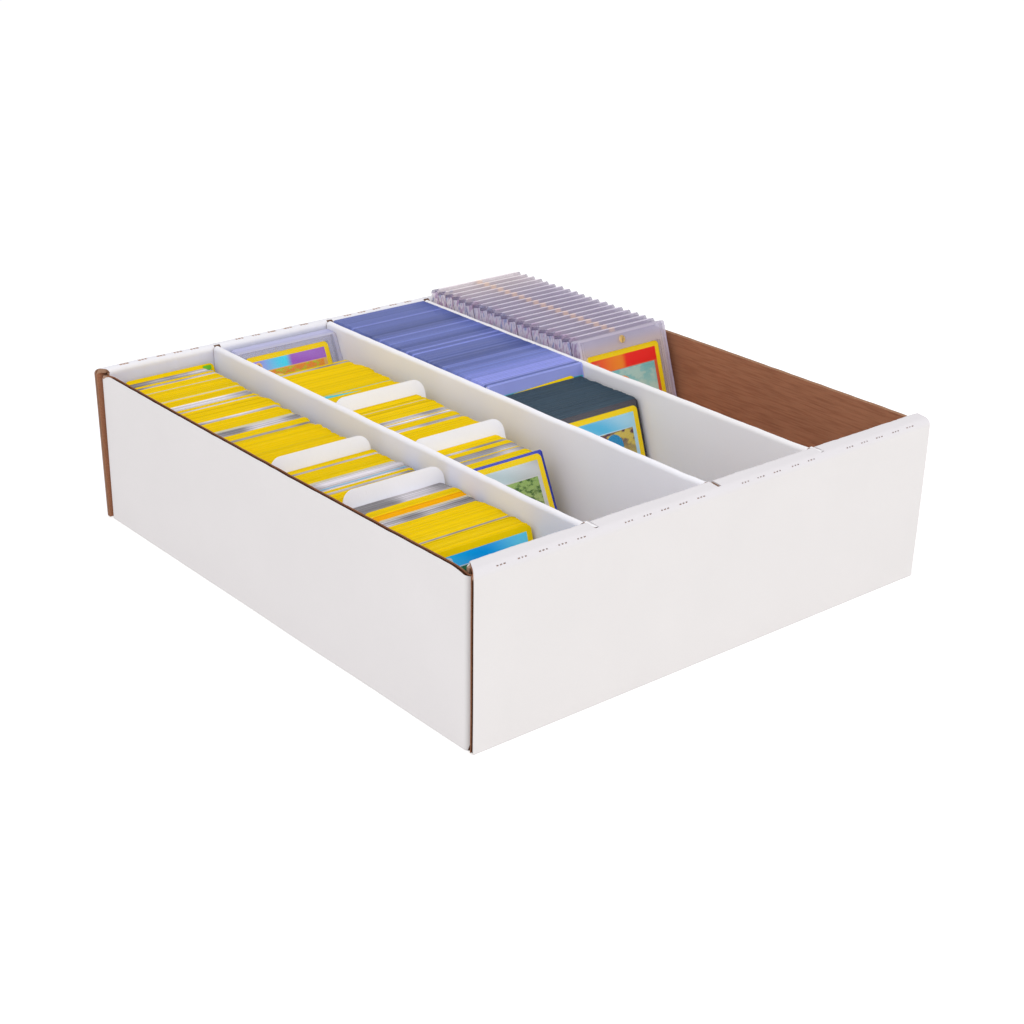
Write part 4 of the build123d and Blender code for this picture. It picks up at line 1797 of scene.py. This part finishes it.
@dataclass
class CardFace:
    """Printed front of one card: border, header band, picture and a plain lower panel."""

    name: str
    header: HeaderFinish
    picture: PictureFinish
    panel: PlasticFinish
    border: float = 3.4 * MM
    header_height: float = 8.6 * MM
    frame_width: float = 2.6 * MM
    picture_foot: float = 41.0 * MM
    picture_gap: float = 0.6 * MM
    emblem_at: float = 5.4 * MM
    emblem_radii: Pair = (2.6 * MM, 1.5 * MM)
    emblem_sides: int = 14
    line_lengths: tuple[float, ...] = (30.0 * MM, 44.0 * MM, 38.0 * MM, 22.0 * MM)
    line_height: float = 1.6 * MM
    line_pitch: float = 7.0 * MM
    line_drop: float = 8.0 * MM
    line_inset: float = 4.0 * MM
    lift: float = 0.02 * MM

    def field(
        self, mesher: Mesher, matrix: Matrix, ring: Sequence[Pair], depth: float, slot: int,
        sheet: Sequence[Pair] | None = None,
    ) -> None:
        """Add one printed field as a thin plate.

        Args:
            mesher: Where it is added.
            matrix: Axes of the card, with depth 0 on its front.
            ring: Its corners on the card, in order.
            depth: Height of its front above the card.
            slot: Index of its finish.
            sheet: Map coordinates of its corners, for a field that has a back too.
        """
        low, high = mesher.grid([[matrix @ Vector((*spot, z)) for spot in ring] for z in (0.0, depth)])
        mesher.add(high, slot, sheet)
        if sheet:
            mesher.add(low[::-1], slot, sheet[::-1])
        for here in range(len(ring)):
            there = (here + 1) % len(ring)
            sides = sheet and (sheet[here], sheet[there], sheet[there], sheet[here])
            mesher.add((low[here], low[there], high[there], high[here]), slot, sides)

    def quad(self, mesher: Mesher, matrix: Matrix, x: Pair, y: Pair, depth: float, slot: int) -> None:
        """Add a rectangular field between two places across the card and two up it."""
        ring = ((x[0], y[0]), (x[1], y[0]), (x[1], y[1]), (x[0], y[1]))
        self.field(mesher, matrix, ring, depth, slot, ((0, 0), (1, 0), (1, 1), (0, 1)))

    def disc(self, mesher: Mesher, matrix: Matrix, middle: Pair, radius: float, slot: int) -> None:
        """Add a round emblem.

        Args:
            mesher: Where it is added.
            matrix: Axes of the card's front.
            middle: Its middle across and up the card.
            radius: Its radius.
            slot: Index of its finish.
        """
        turns = [2 * math.pi * step / self.emblem_sides for step in range(self.emblem_sides)]
        x, y = middle
        ring = [(x + radius * math.cos(turn), y + radius * math.sin(turn)) for turn in turns]
        self.field(mesher, matrix, ring, self.lift * 3, slot)

    def build(self, body: str, matrix: Matrix, with_card: bool = False) -> None:
        """Make the printed front.

        Args:
            body: The body that the card moves with.
            matrix: Axes of the card, with depth 0 on its front.
            with_card: Whether the card itself is made too.
        """
        mesher = Mesher()
        if with_card:
            add_slab(mesher, matrix, CARD.outline(4), -CARD.thickness, 0.0, 4)
        side = CARD.width / 2 - self.border
        top = CARD.height - self.border
        foot = top - self.header_height
        inner = side - self.frame_width
        self.quad(mesher, matrix, (-side, side), (self.border, foot), self.lift, 2)
        self.quad(mesher, matrix, (-side, side), (foot, top), self.lift, 0)
        picture = (self.picture_foot, foot - self.picture_gap)
        self.quad(mesher, matrix, (-inner, inner), picture, self.lift * 2, 1)
        for slot, radius in enumerate(self.emblem_radii, 2):
            self.disc(mesher, matrix, (-side + self.emblem_at, (foot + top) / 2), radius, slot)
        for number, length in enumerate(self.line_lengths):
            y = self.picture_foot - self.line_drop - self.line_pitch * number
            span = (-inner + self.line_inset, -inner + self.line_inset + length)
            self.quad(mesher, matrix, span, (y, y + self.line_height), self.lift * 2, 3)
        accent = PlasticFinish(self.name + "_accent", self.picture.near_hill)
        finishes = (self.header, self.picture, self.panel, accent, FINISH.yellow_card)
        seat(mesher.build(self.name, finishes), body, "card_stock")


@dataclass
class LooseRows:
    """Loose cards with index tabs in the first two rows, and the front card of the first."""

    row_1_lean: float = 16.0
    row_2_lean: float = 19.5
    sway: float = 0.3 * MM
    steps: float = 0.75 * MM
    rear_shift: Triple = (4.6 * MM, 2.4 * MM, 0.3 * MM)
    mark_shift: Triple = (31.2 * MM, -1.5 * MM, 0.3 * MM)
    askew_shift: float = -53.9 * MM
    askew_turn: float = -3.4

    def build(self) -> None:
        """Make both rows."""
        y, s, a, p, c = Tone.YELLOW, Tone.SILVER, Tone.AMBER, Tone.PALE, Tone.CYAN
        first = bands(
            (48, 62, y), (62, 63.5, s), (65, 89, y), (89, 96, s), (96, 97.4, p), (97.4, 103, a),
            (103, 103.8, p), (110, 121, s), (142, 145, s), (148, 160, s), (150, 151.5, c), (160, 162, p),
            (176, 178.5, s), (239, 243, s), (251, 258, s), (258, 261, p), (274, 278, s),
            (299, 301, s), (304, 311, s), (322, 323, p), (340, 341.5, p), (350, 362, s), (353, 356, y),
        )
        second = bands(
            (134.8, 145.8, s), (139, 140, y), (150.8, 153.8, s), (197.8, 201.8, s), (208.8, 217.8, s),
            (212, 213, y), (276.0, 277.0, c), (322.8, 324.8, s), (234, 235, p), (262, 263, p),
        )
        for row, number, count, drift, loose in (
            (1, 1, 240, 2.6, 1.3),
            (1, 2, 170, 2.2, 1.3),
            (1, 3, 140, 1.8, 1.3),
            (1, 4, 164, 1.6, 1.0),
            (2, 1, 182, 2.2, 1.3),
            (2, 2, 184, 2.2, 1.3),
            (2, 3, 68, 0.4, 0.4),
        ):
            node = f"row_{row}_card_pack_{number}"
            lean, tones = (self.row_1_lean, first) if row == 1 else (self.row_2_lean, second)
            Stack(
                node, node, "card_stock", CARD, CARD_PITCH, count, lean, FINISH.card_edge, tones,
                sway=self.sway * loose, drift=drift * MM, steps=self.steps * loose,
                seed=10 + 10 * row + number,
            ).build(node + "_cards")
        self.askew_card()
        for node in ("row_1_index_tab_1", "row_1_index_tab_2", "row_2_index_tab_1", "row_2_index_tab_2"):
            dress(node, FINISH.index)
        dress("row_1_front_card", FINISH.yellow_card)
        self.front_print()
        self.rear_card()

    def askew_card(self) -> None:
        """Stand a card askew on the lean of the second row's first pack, in front of its rear end."""
        pack = "row_2_card_pack_1"
        behind = leaning_node(pack, self.row_2_lean, CARD.height)
        turn = Matrix.Rotation(math.radians(self.askew_turn), 4, "Z")
        place = Matrix.Translation((0, self.askew_shift, 0)) @ behind @ turn
        loose_plate("row_2_stray_card", pack, place, CARD, PlasticFinish("sky_card", (0.08, 0.60, 0.88)))

    def front_print(self) -> None:
        """Print the first row's front card."""
        CardFace(
            "row_1_front_print",
            HeaderFinish("sea_blue_header", (0.01, 0.52, 0.98), (0.0, 0.37, 0.94), (0.12, 0.70, 1.0)),
            PictureFinish(
                "green_valley_picture", sky=(0.03, 0.16, 0.08), haze=(0.1, 0.3, 0.15),
                far_hill=(0.03, 0.18, 0.09), near_hill=(0.02, 0.12, 0.06), sun=(0.9, 0.8, 0.3),
                leaf=(0.01, 0.05, 0.02), leaf_share=0.8,
            ),
            PlasticFinish("pale_blue_panel", (0.5, 0.66, 0.78)),
            header_height=6.3 * MM,
        ).build("row_1_front_card", front_of("row_1_front_card", self.row_1_lean))

    def rear_card(self) -> None:
        """Add the first row's last card, which stands a little out, and the green mark on it."""
        pack = "row_1_card_pack_1"
        rear = leaning_node(pack, self.row_1_lean, CARD.height)
        CardFace(
            "row_1_rear_card",
            HeaderFinish("leaf_header", (0.30, 0.55, 0.05), (0.25, 0.50, 0.05), (0.10, 0.30, 0.03)),
            PictureFinish(
                "meadow_picture", sky=(0.2, 0.5, 0.1), haze=(0.4, 0.6, 0.2), far_hill=(0.03, 0.18, 0.09),
                near_hill=(0.02, 0.12, 0.06), sun=(0.9, 0.8, 0.3),
            ),
            PlasticFinish("leaf_panel", (0.35, 0.6, 0.2)),
        ).build(pack, rear @ Matrix.Translation(self.rear_shift), with_card=True)
        across, down, out = self.mark_shift
        place = rear @ Matrix.Translation((across, CARD.height + down, out + CARD.thickness))
        mark = Plate(width=6.0 * MM, height=2.9 * MM, thickness=0.04 * MM, corner=0.8 * MM)
        loose_plate("row_1_leaf_mark", pack, place, mark, PlasticFinish("leaf_mark", (0.14, 0.56, 0.02)), 3)


def front_of(node: str, lean: float) -> Matrix:
    """Axes on the front face of a card's node that leans by some degrees."""
    return leaning_node(node, lean, CARD.height) @ Matrix.Translation((0, 0, CARD.thickness))


@dataclass
class SheathStack(Stack):
    """Stiff sheaths, each of two sheets with a weld on three sides."""

    sheet: float = 0.7 * MM
    weld: float = 4.0 * MM
    play: float = 0.05 * MM

    def item(self) -> Piece:
        """One sheath, leaning, with its rear lower edge on the origin."""
        mesher = Mesher()
        axes = leaning(self.lean, Vector())
        outline = self.plate.outline(self.segments)
        inner = self.plate.thickness - self.sheet - self.play
        add_slab(mesher, axes, outline, 0.0, self.sheet)
        add_slab(mesher, axes, outline, inner, self.plate.thickness - self.play)
        low, high, reach = self.plate.corner, self.plate.height - self.plate.corner, self.weld / 2
        for x in (reach - self.plate.width / 2, self.plate.width / 2 - reach):
            spots = ((-1, low), (1, low), (1, high), (-1, high))
            bar = [Vector((x + side * reach, y, 0)) for side, y in spots]
            add_slab(mesher, axes, bar, self.sheet, inner)
        return mesher.build(self.node + "_item", (self.finish,))


@dataclass
class Sheaths:
    """Stiff sheaths at the far ends of the second and third rows, with the cards in them."""

    plate: Plate = Plate(width=76.0 * MM, height=101.5 * MM, thickness=2.0 * MM, corner=1.5 * MM)
    row_2_lean: float = 24.5
    row_2_shift: float = -1.5 * MM
    row_3_lean: float = 17.5
    card_depth: float = 0.82 * MM
    card_foot: float = 2.1 * MM
    rim_width: float = 1.1 * MM

    def build(self) -> None:
        """Make both rows' sheaths."""
        dark, middle, light, front = Tone.DARK_BLUE, Tone.MIDDLE_BLUE, Tone.LIGHT_BLUE, Tone.FRONT_BLUE
        lines = bands(
            (277, 279.5, light), (284, 286.5, light), (344, 346, light), (262, 264.5, dark),
            (236, 240, middle), (244, 247, middle), (226, 236, middle), (218, 226, light),
            (207, 218, front), (312, 314.5, light), (251, 255.5, dark), (268, 271, middle),
            (291, 297, dark), (303, 306, middle), (324, 330, dark),
        )
        for node, count, lean, base, tones, seed in (
            ("row_3_toploader_stack", 78, self.row_3_lean, Tone.BLUE, lines, 61),
            ("row_2_toploader_stack", 3, self.row_2_lean, Tone.LAVENDER, (), 62),
        ):
            shared = {
                "pitch": self.plate.thickness, "count": count, "lean": lean, "seed": seed,
                "sway": 0.12 * MM, "drift": 0.2 * MM,
            }
            SheathStack(
                node, node, frame_slot(node), self.plate, finish=FINISH.sheath, tones=tones, base=base,
                rise=0.25 * MM, spread=0.12, **shared,
            ).build(node + "_sheaths")
            Stack(
                node, node, "card_stock", CARD, finish=FINISH.card_edge, rise=0.0,
                foot=self.card_foot, case=self.plate.height, **shared,
            ).build(node + "_cards", replace=False, inset=self.card_depth)
        self.front_cases()
        dress("row_2_toploader_card", FINISH.yellow_card)
        dress("row_3_toploader_card", PlasticFinish("teal_border", (0.02, 0.42, 0.55), 0.32))
        self.prints()

    def front_cases(self) -> None:
        """Dress the front sheath of each row."""
        row_2 = {
            "lean": self.row_2_lean, "window": Window(half=32.0 * MM, foot=8.0 * MM, top=97.1 * MM),
            "rim_colour": (0.7, 0.7, 0.9), "rim_milky": 0.6,
        }
        row_3 = {
            "lean": self.row_3_lean, "window": Window(half=32.0 * MM, foot=2.0 * MM, top=91.0 * MM),
            "rim_colour": (0.34, 0.39, 0.86), "rim_milky": 0.97,
            "tint": (0.06, 0.5, 0.64), "tint_top": 93.4 * MM,
        }
        rim = Rim(side=self.plate.width / 2, top=self.plate.height, width=self.rim_width)
        for node, colour, clear, milky, shift, look in (
            ("row_2_toploader_back", (0.66, 0.66, 0.84), 0.2, 0.3, self.row_2_shift, row_2),
            ("row_2_toploader_front", (0.70, 0.70, 0.88), 0.012, 0.22, self.row_2_shift, row_2),
            ("row_3_toploader_back", (0.33, 0.38, 0.84), 0.6, 0.7, 0.0, row_3),
            ("row_3_toploader_front", (0.33, 0.38, 0.84), 0.25, 0.7, 0.0, row_3),
        ):
            rear = leaning_node(node.rsplit("_", 1)[0] + "_back", look["lean"], self.plate.height)
            place = tuple(rear.translation + Vector((shift, 0, 0)))
            dress(node, PaneFinish(
                node + "_pane", colour=colour, place=place, clear=clear, milky=milky, rim=rim, **look
            ))

    def prints(self) -> None:
        """Print the cards in the front sheaths."""
        CardFace(
            "row_2_sheath_print",
            HeaderFinish(
                "violet_foil_header", (0.36, 0.25, 0.85), (0.06, 0.72, 0.98), (0.36, 0.11, 0.60),
                turn=0.5, soft=0.05, glow=0.06,
            ),
            PictureFinish(
                "autumn_picture", sky=(0.85, 0.28, 0.03), haze=(0.8, 0.5, 0.1), far_hill=(0.5, 0.6, 0.1),
                near_hill=(0.6, 0.1, 0.05), sun=(0.9, 0.75, 0.2), leaf=(0.5, 0.6, 0.02), leaf_share=0.9,
            ),
            PlasticFinish("amber_panel", (0.8, 0.45, 0.12)),
            header_height=7.0 * MM,
        ).build("row_2_toploader_card", front_of("row_2_toploader_card", self.row_2_lean))
        CardFace(
            "row_3_sheath_print",
            HeaderFinish("teal_header", (0.02, 0.45, 0.6), (0.05, 0.55, 0.66), (0.02, 0.4, 0.55)),
            PictureFinish(
                "lagoon_picture", sky=(0.1, 0.5, 0.7), haze=(0.3, 0.7, 0.7), far_hill=(0.03, 0.25, 0.3),
                near_hill=(0.02, 0.15, 0.2), sun=(0.9, 0.85, 0.5),
            ),
            PlasticFinish("teal_panel", (0.2, 0.6, 0.66)),
        ).build("row_3_toploader_card", front_of("row_3_toploader_card", self.row_3_lean))


def frame_slot(node: str) -> str:
    """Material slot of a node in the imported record."""
    return next(part["material_slot"] for part in frame["record"]["subparts"] if part["node"] == node)


@dataclass
class Sleeves:
    """Soft sleeves: a pack of them in the third row, and one in front of rows two and three."""

    plate: Plate = Plate(width=66.5 * MM, height=93.5 * MM, thickness=0.47 * MM, corner=1.0 * MM)
    pitch: float = 0.55 * MM
    count: int = 86
    pack_lean: float = 17.5
    row_2_lean: float = 25.0
    row_3_lean: float = 18.5
    stray_shift: Triple = (-1.5 * MM, 5.5 * MM, 0.0)
    stray_turn: float = 2.2

    def build(self) -> None:
        """Make the sleeved cards."""
        pack = "row_3_sleeved_pack"
        Stack(
            pack, pack, "slate_sleeve", self.plate, self.pitch, self.count, self.pack_lean,
            FINISH.sleeve_edge, base=Tone.SLATE, sway=0.15 * MM, drift=1.6 * MM, steps=0.4 * MM,
            rise=0.3 * MM, seed=71, spread=0.18,
        ).build("row_3_sleeved_cards")
        rear = leaning_node(pack, self.pack_lean, self.plate.height) @ Matrix.Translation(self.stray_shift)
        place = rear @ Matrix.Rotation(math.radians(self.stray_turn), 4, "Z")
        loose_plate("row_3_stray_card", pack, place, CARD, FINISH.yellow_card)
        dress("row_2_sleeve_back", FINISH.blue_film)
        dress("row_2_sleeve_front", FINISH.clear_film)
        dress("row_3_sleeve_back", FINISH.slate_film)
        dress("row_3_sleeve_front", FINISH.clear_film)
        for node in ("row_2_sleeve_card", "row_3_sleeve_card"):
            dress(node, FINISH.yellow_card)
        self.prints()

    def prints(self) -> None:
        """Print the cards in the front sleeves."""
        CardFace(
            "row_2_sleeve_print",
            HeaderFinish(
                "silver_header", (0.30, 0.46, 0.50), (0.50, 0.62, 0.64), (0.46, 0.46, 0.43), glow=0.35
            ),
            PictureFinish(
                "forest_picture", sky=(0.3, 0.45, 0.12), haze=(0.45, 0.5, 0.2),
                far_hill=(0.05, 0.14, 0.03), near_hill=(0.04, 0.2, 0.34), sun=(0.03, 0.30, 0.55),
                sun_at=(0.66, 0.5), sun_size=0.14, leaf=(0.03, 0.10, 0.02), leaf_share=0.85,
            ),
            PlasticFinish("silver_panel", (0.6, 0.6, 0.58), 0.3),
        ).build("row_2_sleeve_card", front_of("row_2_sleeve_card", self.row_2_lean))
        CardFace(
            "row_3_sleeve_print",
            HeaderFinish(
                "sky_header", (0.14, 0.54, 0.80), (0.09, 0.50, 0.78), (0.30, 0.66, 0.84), glow=0.2
            ),
            PictureFinish(
                "harbour_picture", sky=(0.10, 0.04, 0.08), haze=(0.72, 0.58, 0.12),
                far_hill=(0.03, 0.28, 0.55), near_hill=(0.02, 0.12, 0.4), sun=(0.02, 0.26, 0.52),
                sun_at=(0.68, 0.74), sun_size=0.13, leaf=(0.78, 0.62, 0.10), leaf_share=0.8,
                leaf_scale=6.0,
            ),
            PlasticFinish("sky_panel", (0.45, 0.7, 0.85)),
        ).build("row_3_sleeve_card", front_of("row_3_sleeve_card", self.row_3_lean))


@dataclass
class PlateStack(Stack):
    """Thick plates with softened edges, one from each holder of the stack."""

    low: float = 0.0
    bevel: float = 0.45 * MM
    part: int = 0

    def item(self) -> Piece:
        """One part of a plate, leaning, at its depth in the holder."""
        mesher = Mesher()
        top = self.low + self.plate.thickness
        add_slab(
            mesher, leaning(self.lean, Vector()), self.plate.outline(4), self.low, top,
            bevel=self.bevel, rim=1, corner=2,
        )
        mesher.only(self.part)
        return mesher.build(self.node + "_item", (self.finish,), False)


@dataclass
class Holders:
    """Thick magnetic holders of the fourth row."""

    lean: float = 18.0
    back: Plate = Plate(width=76.0 * MM, height=108.0 * MM, thickness=4.6 * MM, corner=2.0 * MM)
    cover: Plate = Plate(width=76.0 * MM, height=108.0 * MM, thickness=2.3 * MM, corner=2.0 * MM)
    gap: float = 0.1 * MM
    pitch: float = 7.3 * MM
    count: int = 19
    magnet_height: float = 102.4 * MM
    rim_width: float = 1.6 * MM
    window: Window = Window(half=32.2 * MM, foot=6.6 * MM, top=96.3 * MM)

    def build(self) -> None:
        """Make the stack and the front holder."""
        self.stack()
        for node in ("holder_stack_cards", "front_holder_card"):
            dress(node, FINISH.yellow_card)
        for plate in ("back", "cover"):
            dress(f"holder_stack_{plate}_magnets", FINISH.gold)
            dress(f"front_holder_{plate}_magnet", FINISH.gold)
        self.front_holder()

    def stack(self) -> None:
        """Make the backs and covers of the stack, in three finishes each: plates, rims with a painted
        highlight and rounded corners with painted shade.
        """
        node = "holder_stack_backs"
        low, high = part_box(node)
        middle = (low.x + high.x) / 2
        # Copies of one clear acrylic, lit and shaded: the rims get a lighter, milkier colour as painted
        # highlight, the corners a dark one as painted shade, and plates and rims are painted lighter towards
        # the far end.
        plates_finish = AcrylicFinish("holder_acrylic", (0.58, 0.51, 0.68), 0.4, middle, low.x)
        rims_painted_highlight_finish = AcrylicFinish(
            "holder_rims_painted_highlight", (0.72, 0.66, 0.80), 0.8, middle, low.x, far_painted_light=(0.92, 0.84, 0.88)
        )
        parts = (("plates", plates_finish), ("rims", rims_painted_highlight_finish), ("corners", FINISH.acrylic_corner_painted_shade))
        for name, depth, plate in (
            ("back", 0.0, self.back),
            ("cover", self.back.thickness + self.gap, self.cover),
        ):
            for number, (part, finish) in enumerate(parts):
                PlateStack(
                    node, "holder_stack", "clear_acrylic", plate, self.pitch, self.count, self.lean,
                    finish, sway=0.5 * MM, drift=0.8 * MM, rise=0.0, seed=81, low=depth, part=number,
                ).build(f"holder_stack_{name}_{part}", replace=False)
        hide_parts("holder_stack_backs")
        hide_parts("holder_stack_covers")

    def front_holder(self) -> None:
        """Dress the front holder and print its card."""
        place = tuple(leaning_node("front_holder_back", self.lean, self.back.height).translation)
        rim = Rim(side=self.back.width / 2, top=self.back.height, width=self.rim_width)
        for node, clear, milky in (("front_holder_back", 0.5, 0.5), ("front_holder_cover", 0.012, 0.34)):
            # The front holder's panes carry painted light and shade lines beside the card.
            dress(node, PaneFinish(
                node + "_pane", (0.66, 0.62, 0.80), place, self.lean, self.window, clear, milky, rim,
                rim_colour=(0.68, 0.63, 0.78), rim_milky=0.62, side_colour=(0.42, 0.31, 0.50),
                magnet_height=self.magnet_height, tint=(0.78, 0.66, 0.66), tint_top=101.0 * MM,
                tint_soft=4.0 * MM, streaks=0.16,
            ))
        CardFace(
            "front_holder_print",
            HeaderFinish(
                "ember_header", (0.85, 0.05, 0.02), (0.9, 0.24, 0.01), (0.86, 0.01, 0.005),
                turn=0.5, soft=0.05, glow=0.0,
            ),
            PictureFinish(
                "desert_picture", sky=(0.2, 0.5, 0.5), haze=(0.5, 0.72, 0.62), far_hill=(0.7, 0.3, 0.04),
                near_hill=(0.7, 0.5, 0.12), sun=(0.85, 0.3, 0.05), sun_at=(0.42, 0.62), sun_size=0.15,
                leaf=(0.62, 0.72, 0.60), leaf_share=0.5, leaf_scale=5.0,
            ),
            PlasticFinish("ember_panel", (0.75, 0.1, 0.03)),
        ).build("front_holder", front_of("front_holder_card", self.lean))


# Studio


def seen_rays(tree: bpy.types.NodeTree) -> Sock:
    """1 on camera, glossy and transmission rays, otherwise 0."""
    rays = tree.nodes.new("ShaderNodeLightPath").outputs
    return sum(Sock(tree, rays[f"Is {kind} Ray"]) for kind in ("Camera", "Glossy", "Transmission"))


@dataclass(frozen=True)
class GroundFinish:
    """White ground that glows a little where it is seen, so that it stays white to the horizon."""

    name: str = "white_ground"
    glow: float = 0.34

    def material(self) -> Material:
        """The finish as a material."""
        paint = Paint(self.name)
        seen = seen_rays(paint.tree)
        return paint.finish(
            Base_Color=(0.9, 0.9, 0.9),
            Roughness=0.9,
            Specular_IOR_Level=0.0,
            Emission_Color=paint.mix(seen, (0.0, 0.0, 0.0), (1.0, 1.0, 1.0)),
            Emission_Strength=self.glow,
        )


@dataclass
class Studio:
    """Pale floor, soft light and the camera at the photograph's angle."""

    lens: float = 63.87
    camera_place: tuple[float, float, float] = (-0.6514, -0.7957, 0.4693)
    right: tuple[float, float, float] = (0.7719, -0.6356, 0.0133)
    up: tuple[float, float, float] = (0.2441, 0.3156, 0.9169)
    floor_half: float = 6.0
    floor_drop: float = 0.2 * MM
    lit_strength: float = 0.72
    seen_strength: float = 1.0

    def build(self) -> None:
        """Make the floor, the world, the lamps and the camera."""
        bpy.context.scene.view_settings.view_transform = "Standard"
        self.floor()
        self.world()
        self.lamp("key", place=(-1.2, -0.6, 1.7), size=1.6, power=14.0)
        self.lamp("fill", place=(0.9, -1.6, 1.1), size=1.6, power=9.0)
        self.camera()

    def floor(self) -> None:
        """Make the floor."""
        mesher = Mesher()
        half, low = self.floor_half, -self.floor_drop
        spots = ((-half, -half, low), (half, -half, low), (half, half, low), (-half, half, low))
        mesher.add(mesher.grid([[Vector(spot) for spot in spots]])[0])
        mesher.build("floor", (GroundFinish(),), False)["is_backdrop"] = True

    def world(self) -> None:
        """Light the scene from all sides."""
        world = bpy.data.worlds.new("studio")
        bpy.context.scene.world = world
        world.use_nodes = True
        world.node_tree.nodes.clear()
        maker = NodeMaker(world.node_tree)
        values = {"Value": seen_rays(maker.tree), "To Min": self.lit_strength, "To Max": self.seen_strength}
        strength = maker.node("ShaderNodeMapRange", None, values)
        values = {"Color": (1.0, 1.0, 1.0), "Strength": strength.outputs[0]}
        background = maker.node("ShaderNodeBackground", None, values)
        maker.node("ShaderNodeOutputWorld", None, {0: background.outputs[0]})

    def lamp(self, name: str, place: tuple[float, float, float], size: float, power: float) -> None:
        """Add a soft lamp that points at the tray.

        Args:
            name: The lamp's name.
            place: Where it hangs.
            size: Side of its square face.
            power: Its power in watts.
        """
        data = bpy.data.lights.new(name, "AREA")
        data.size = size
        data.energy = power
        lamp = new_object(name, data)
        lamp.location = place
        lamp.rotation_euler = (-Vector(place)).to_track_quat("-Z", "Y").to_euler()

    def camera(self) -> None:
        """Put the camera where the photograph was taken."""
        data = bpy.data.cameras.new("camera")
        data.lens = self.lens
        camera = new_object("camera", data)
        right, up = Vector(self.right), Vector(self.up)
        back = right.cross(up)
        matrix = Matrix((right, up, back)).transposed().to_4x4()
        matrix.translation = Vector(self.camera_place)
        camera.matrix_world = matrix
        bpy.context.scene.camera = camera


def corners(bounds: tuple[Vector, Vector]) -> list[list[float]]:
    """Two corners as plain numbers."""
    return [list(corner) for corner in bounds]


def main() -> None:
    """Make every piece."""
    logging.basicConfig(level=logging.INFO, format="%(message)s")
    packed = corners(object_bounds())
    Tray().build()
    Dividers().build()
    LooseRows().build()
    Sheaths().build()
    Sleeves().build()
    Holders().build()
    Studio().build()
    {"packed": packed, "dressed": corners(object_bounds())}


if __name__ == "__main__":
    main()
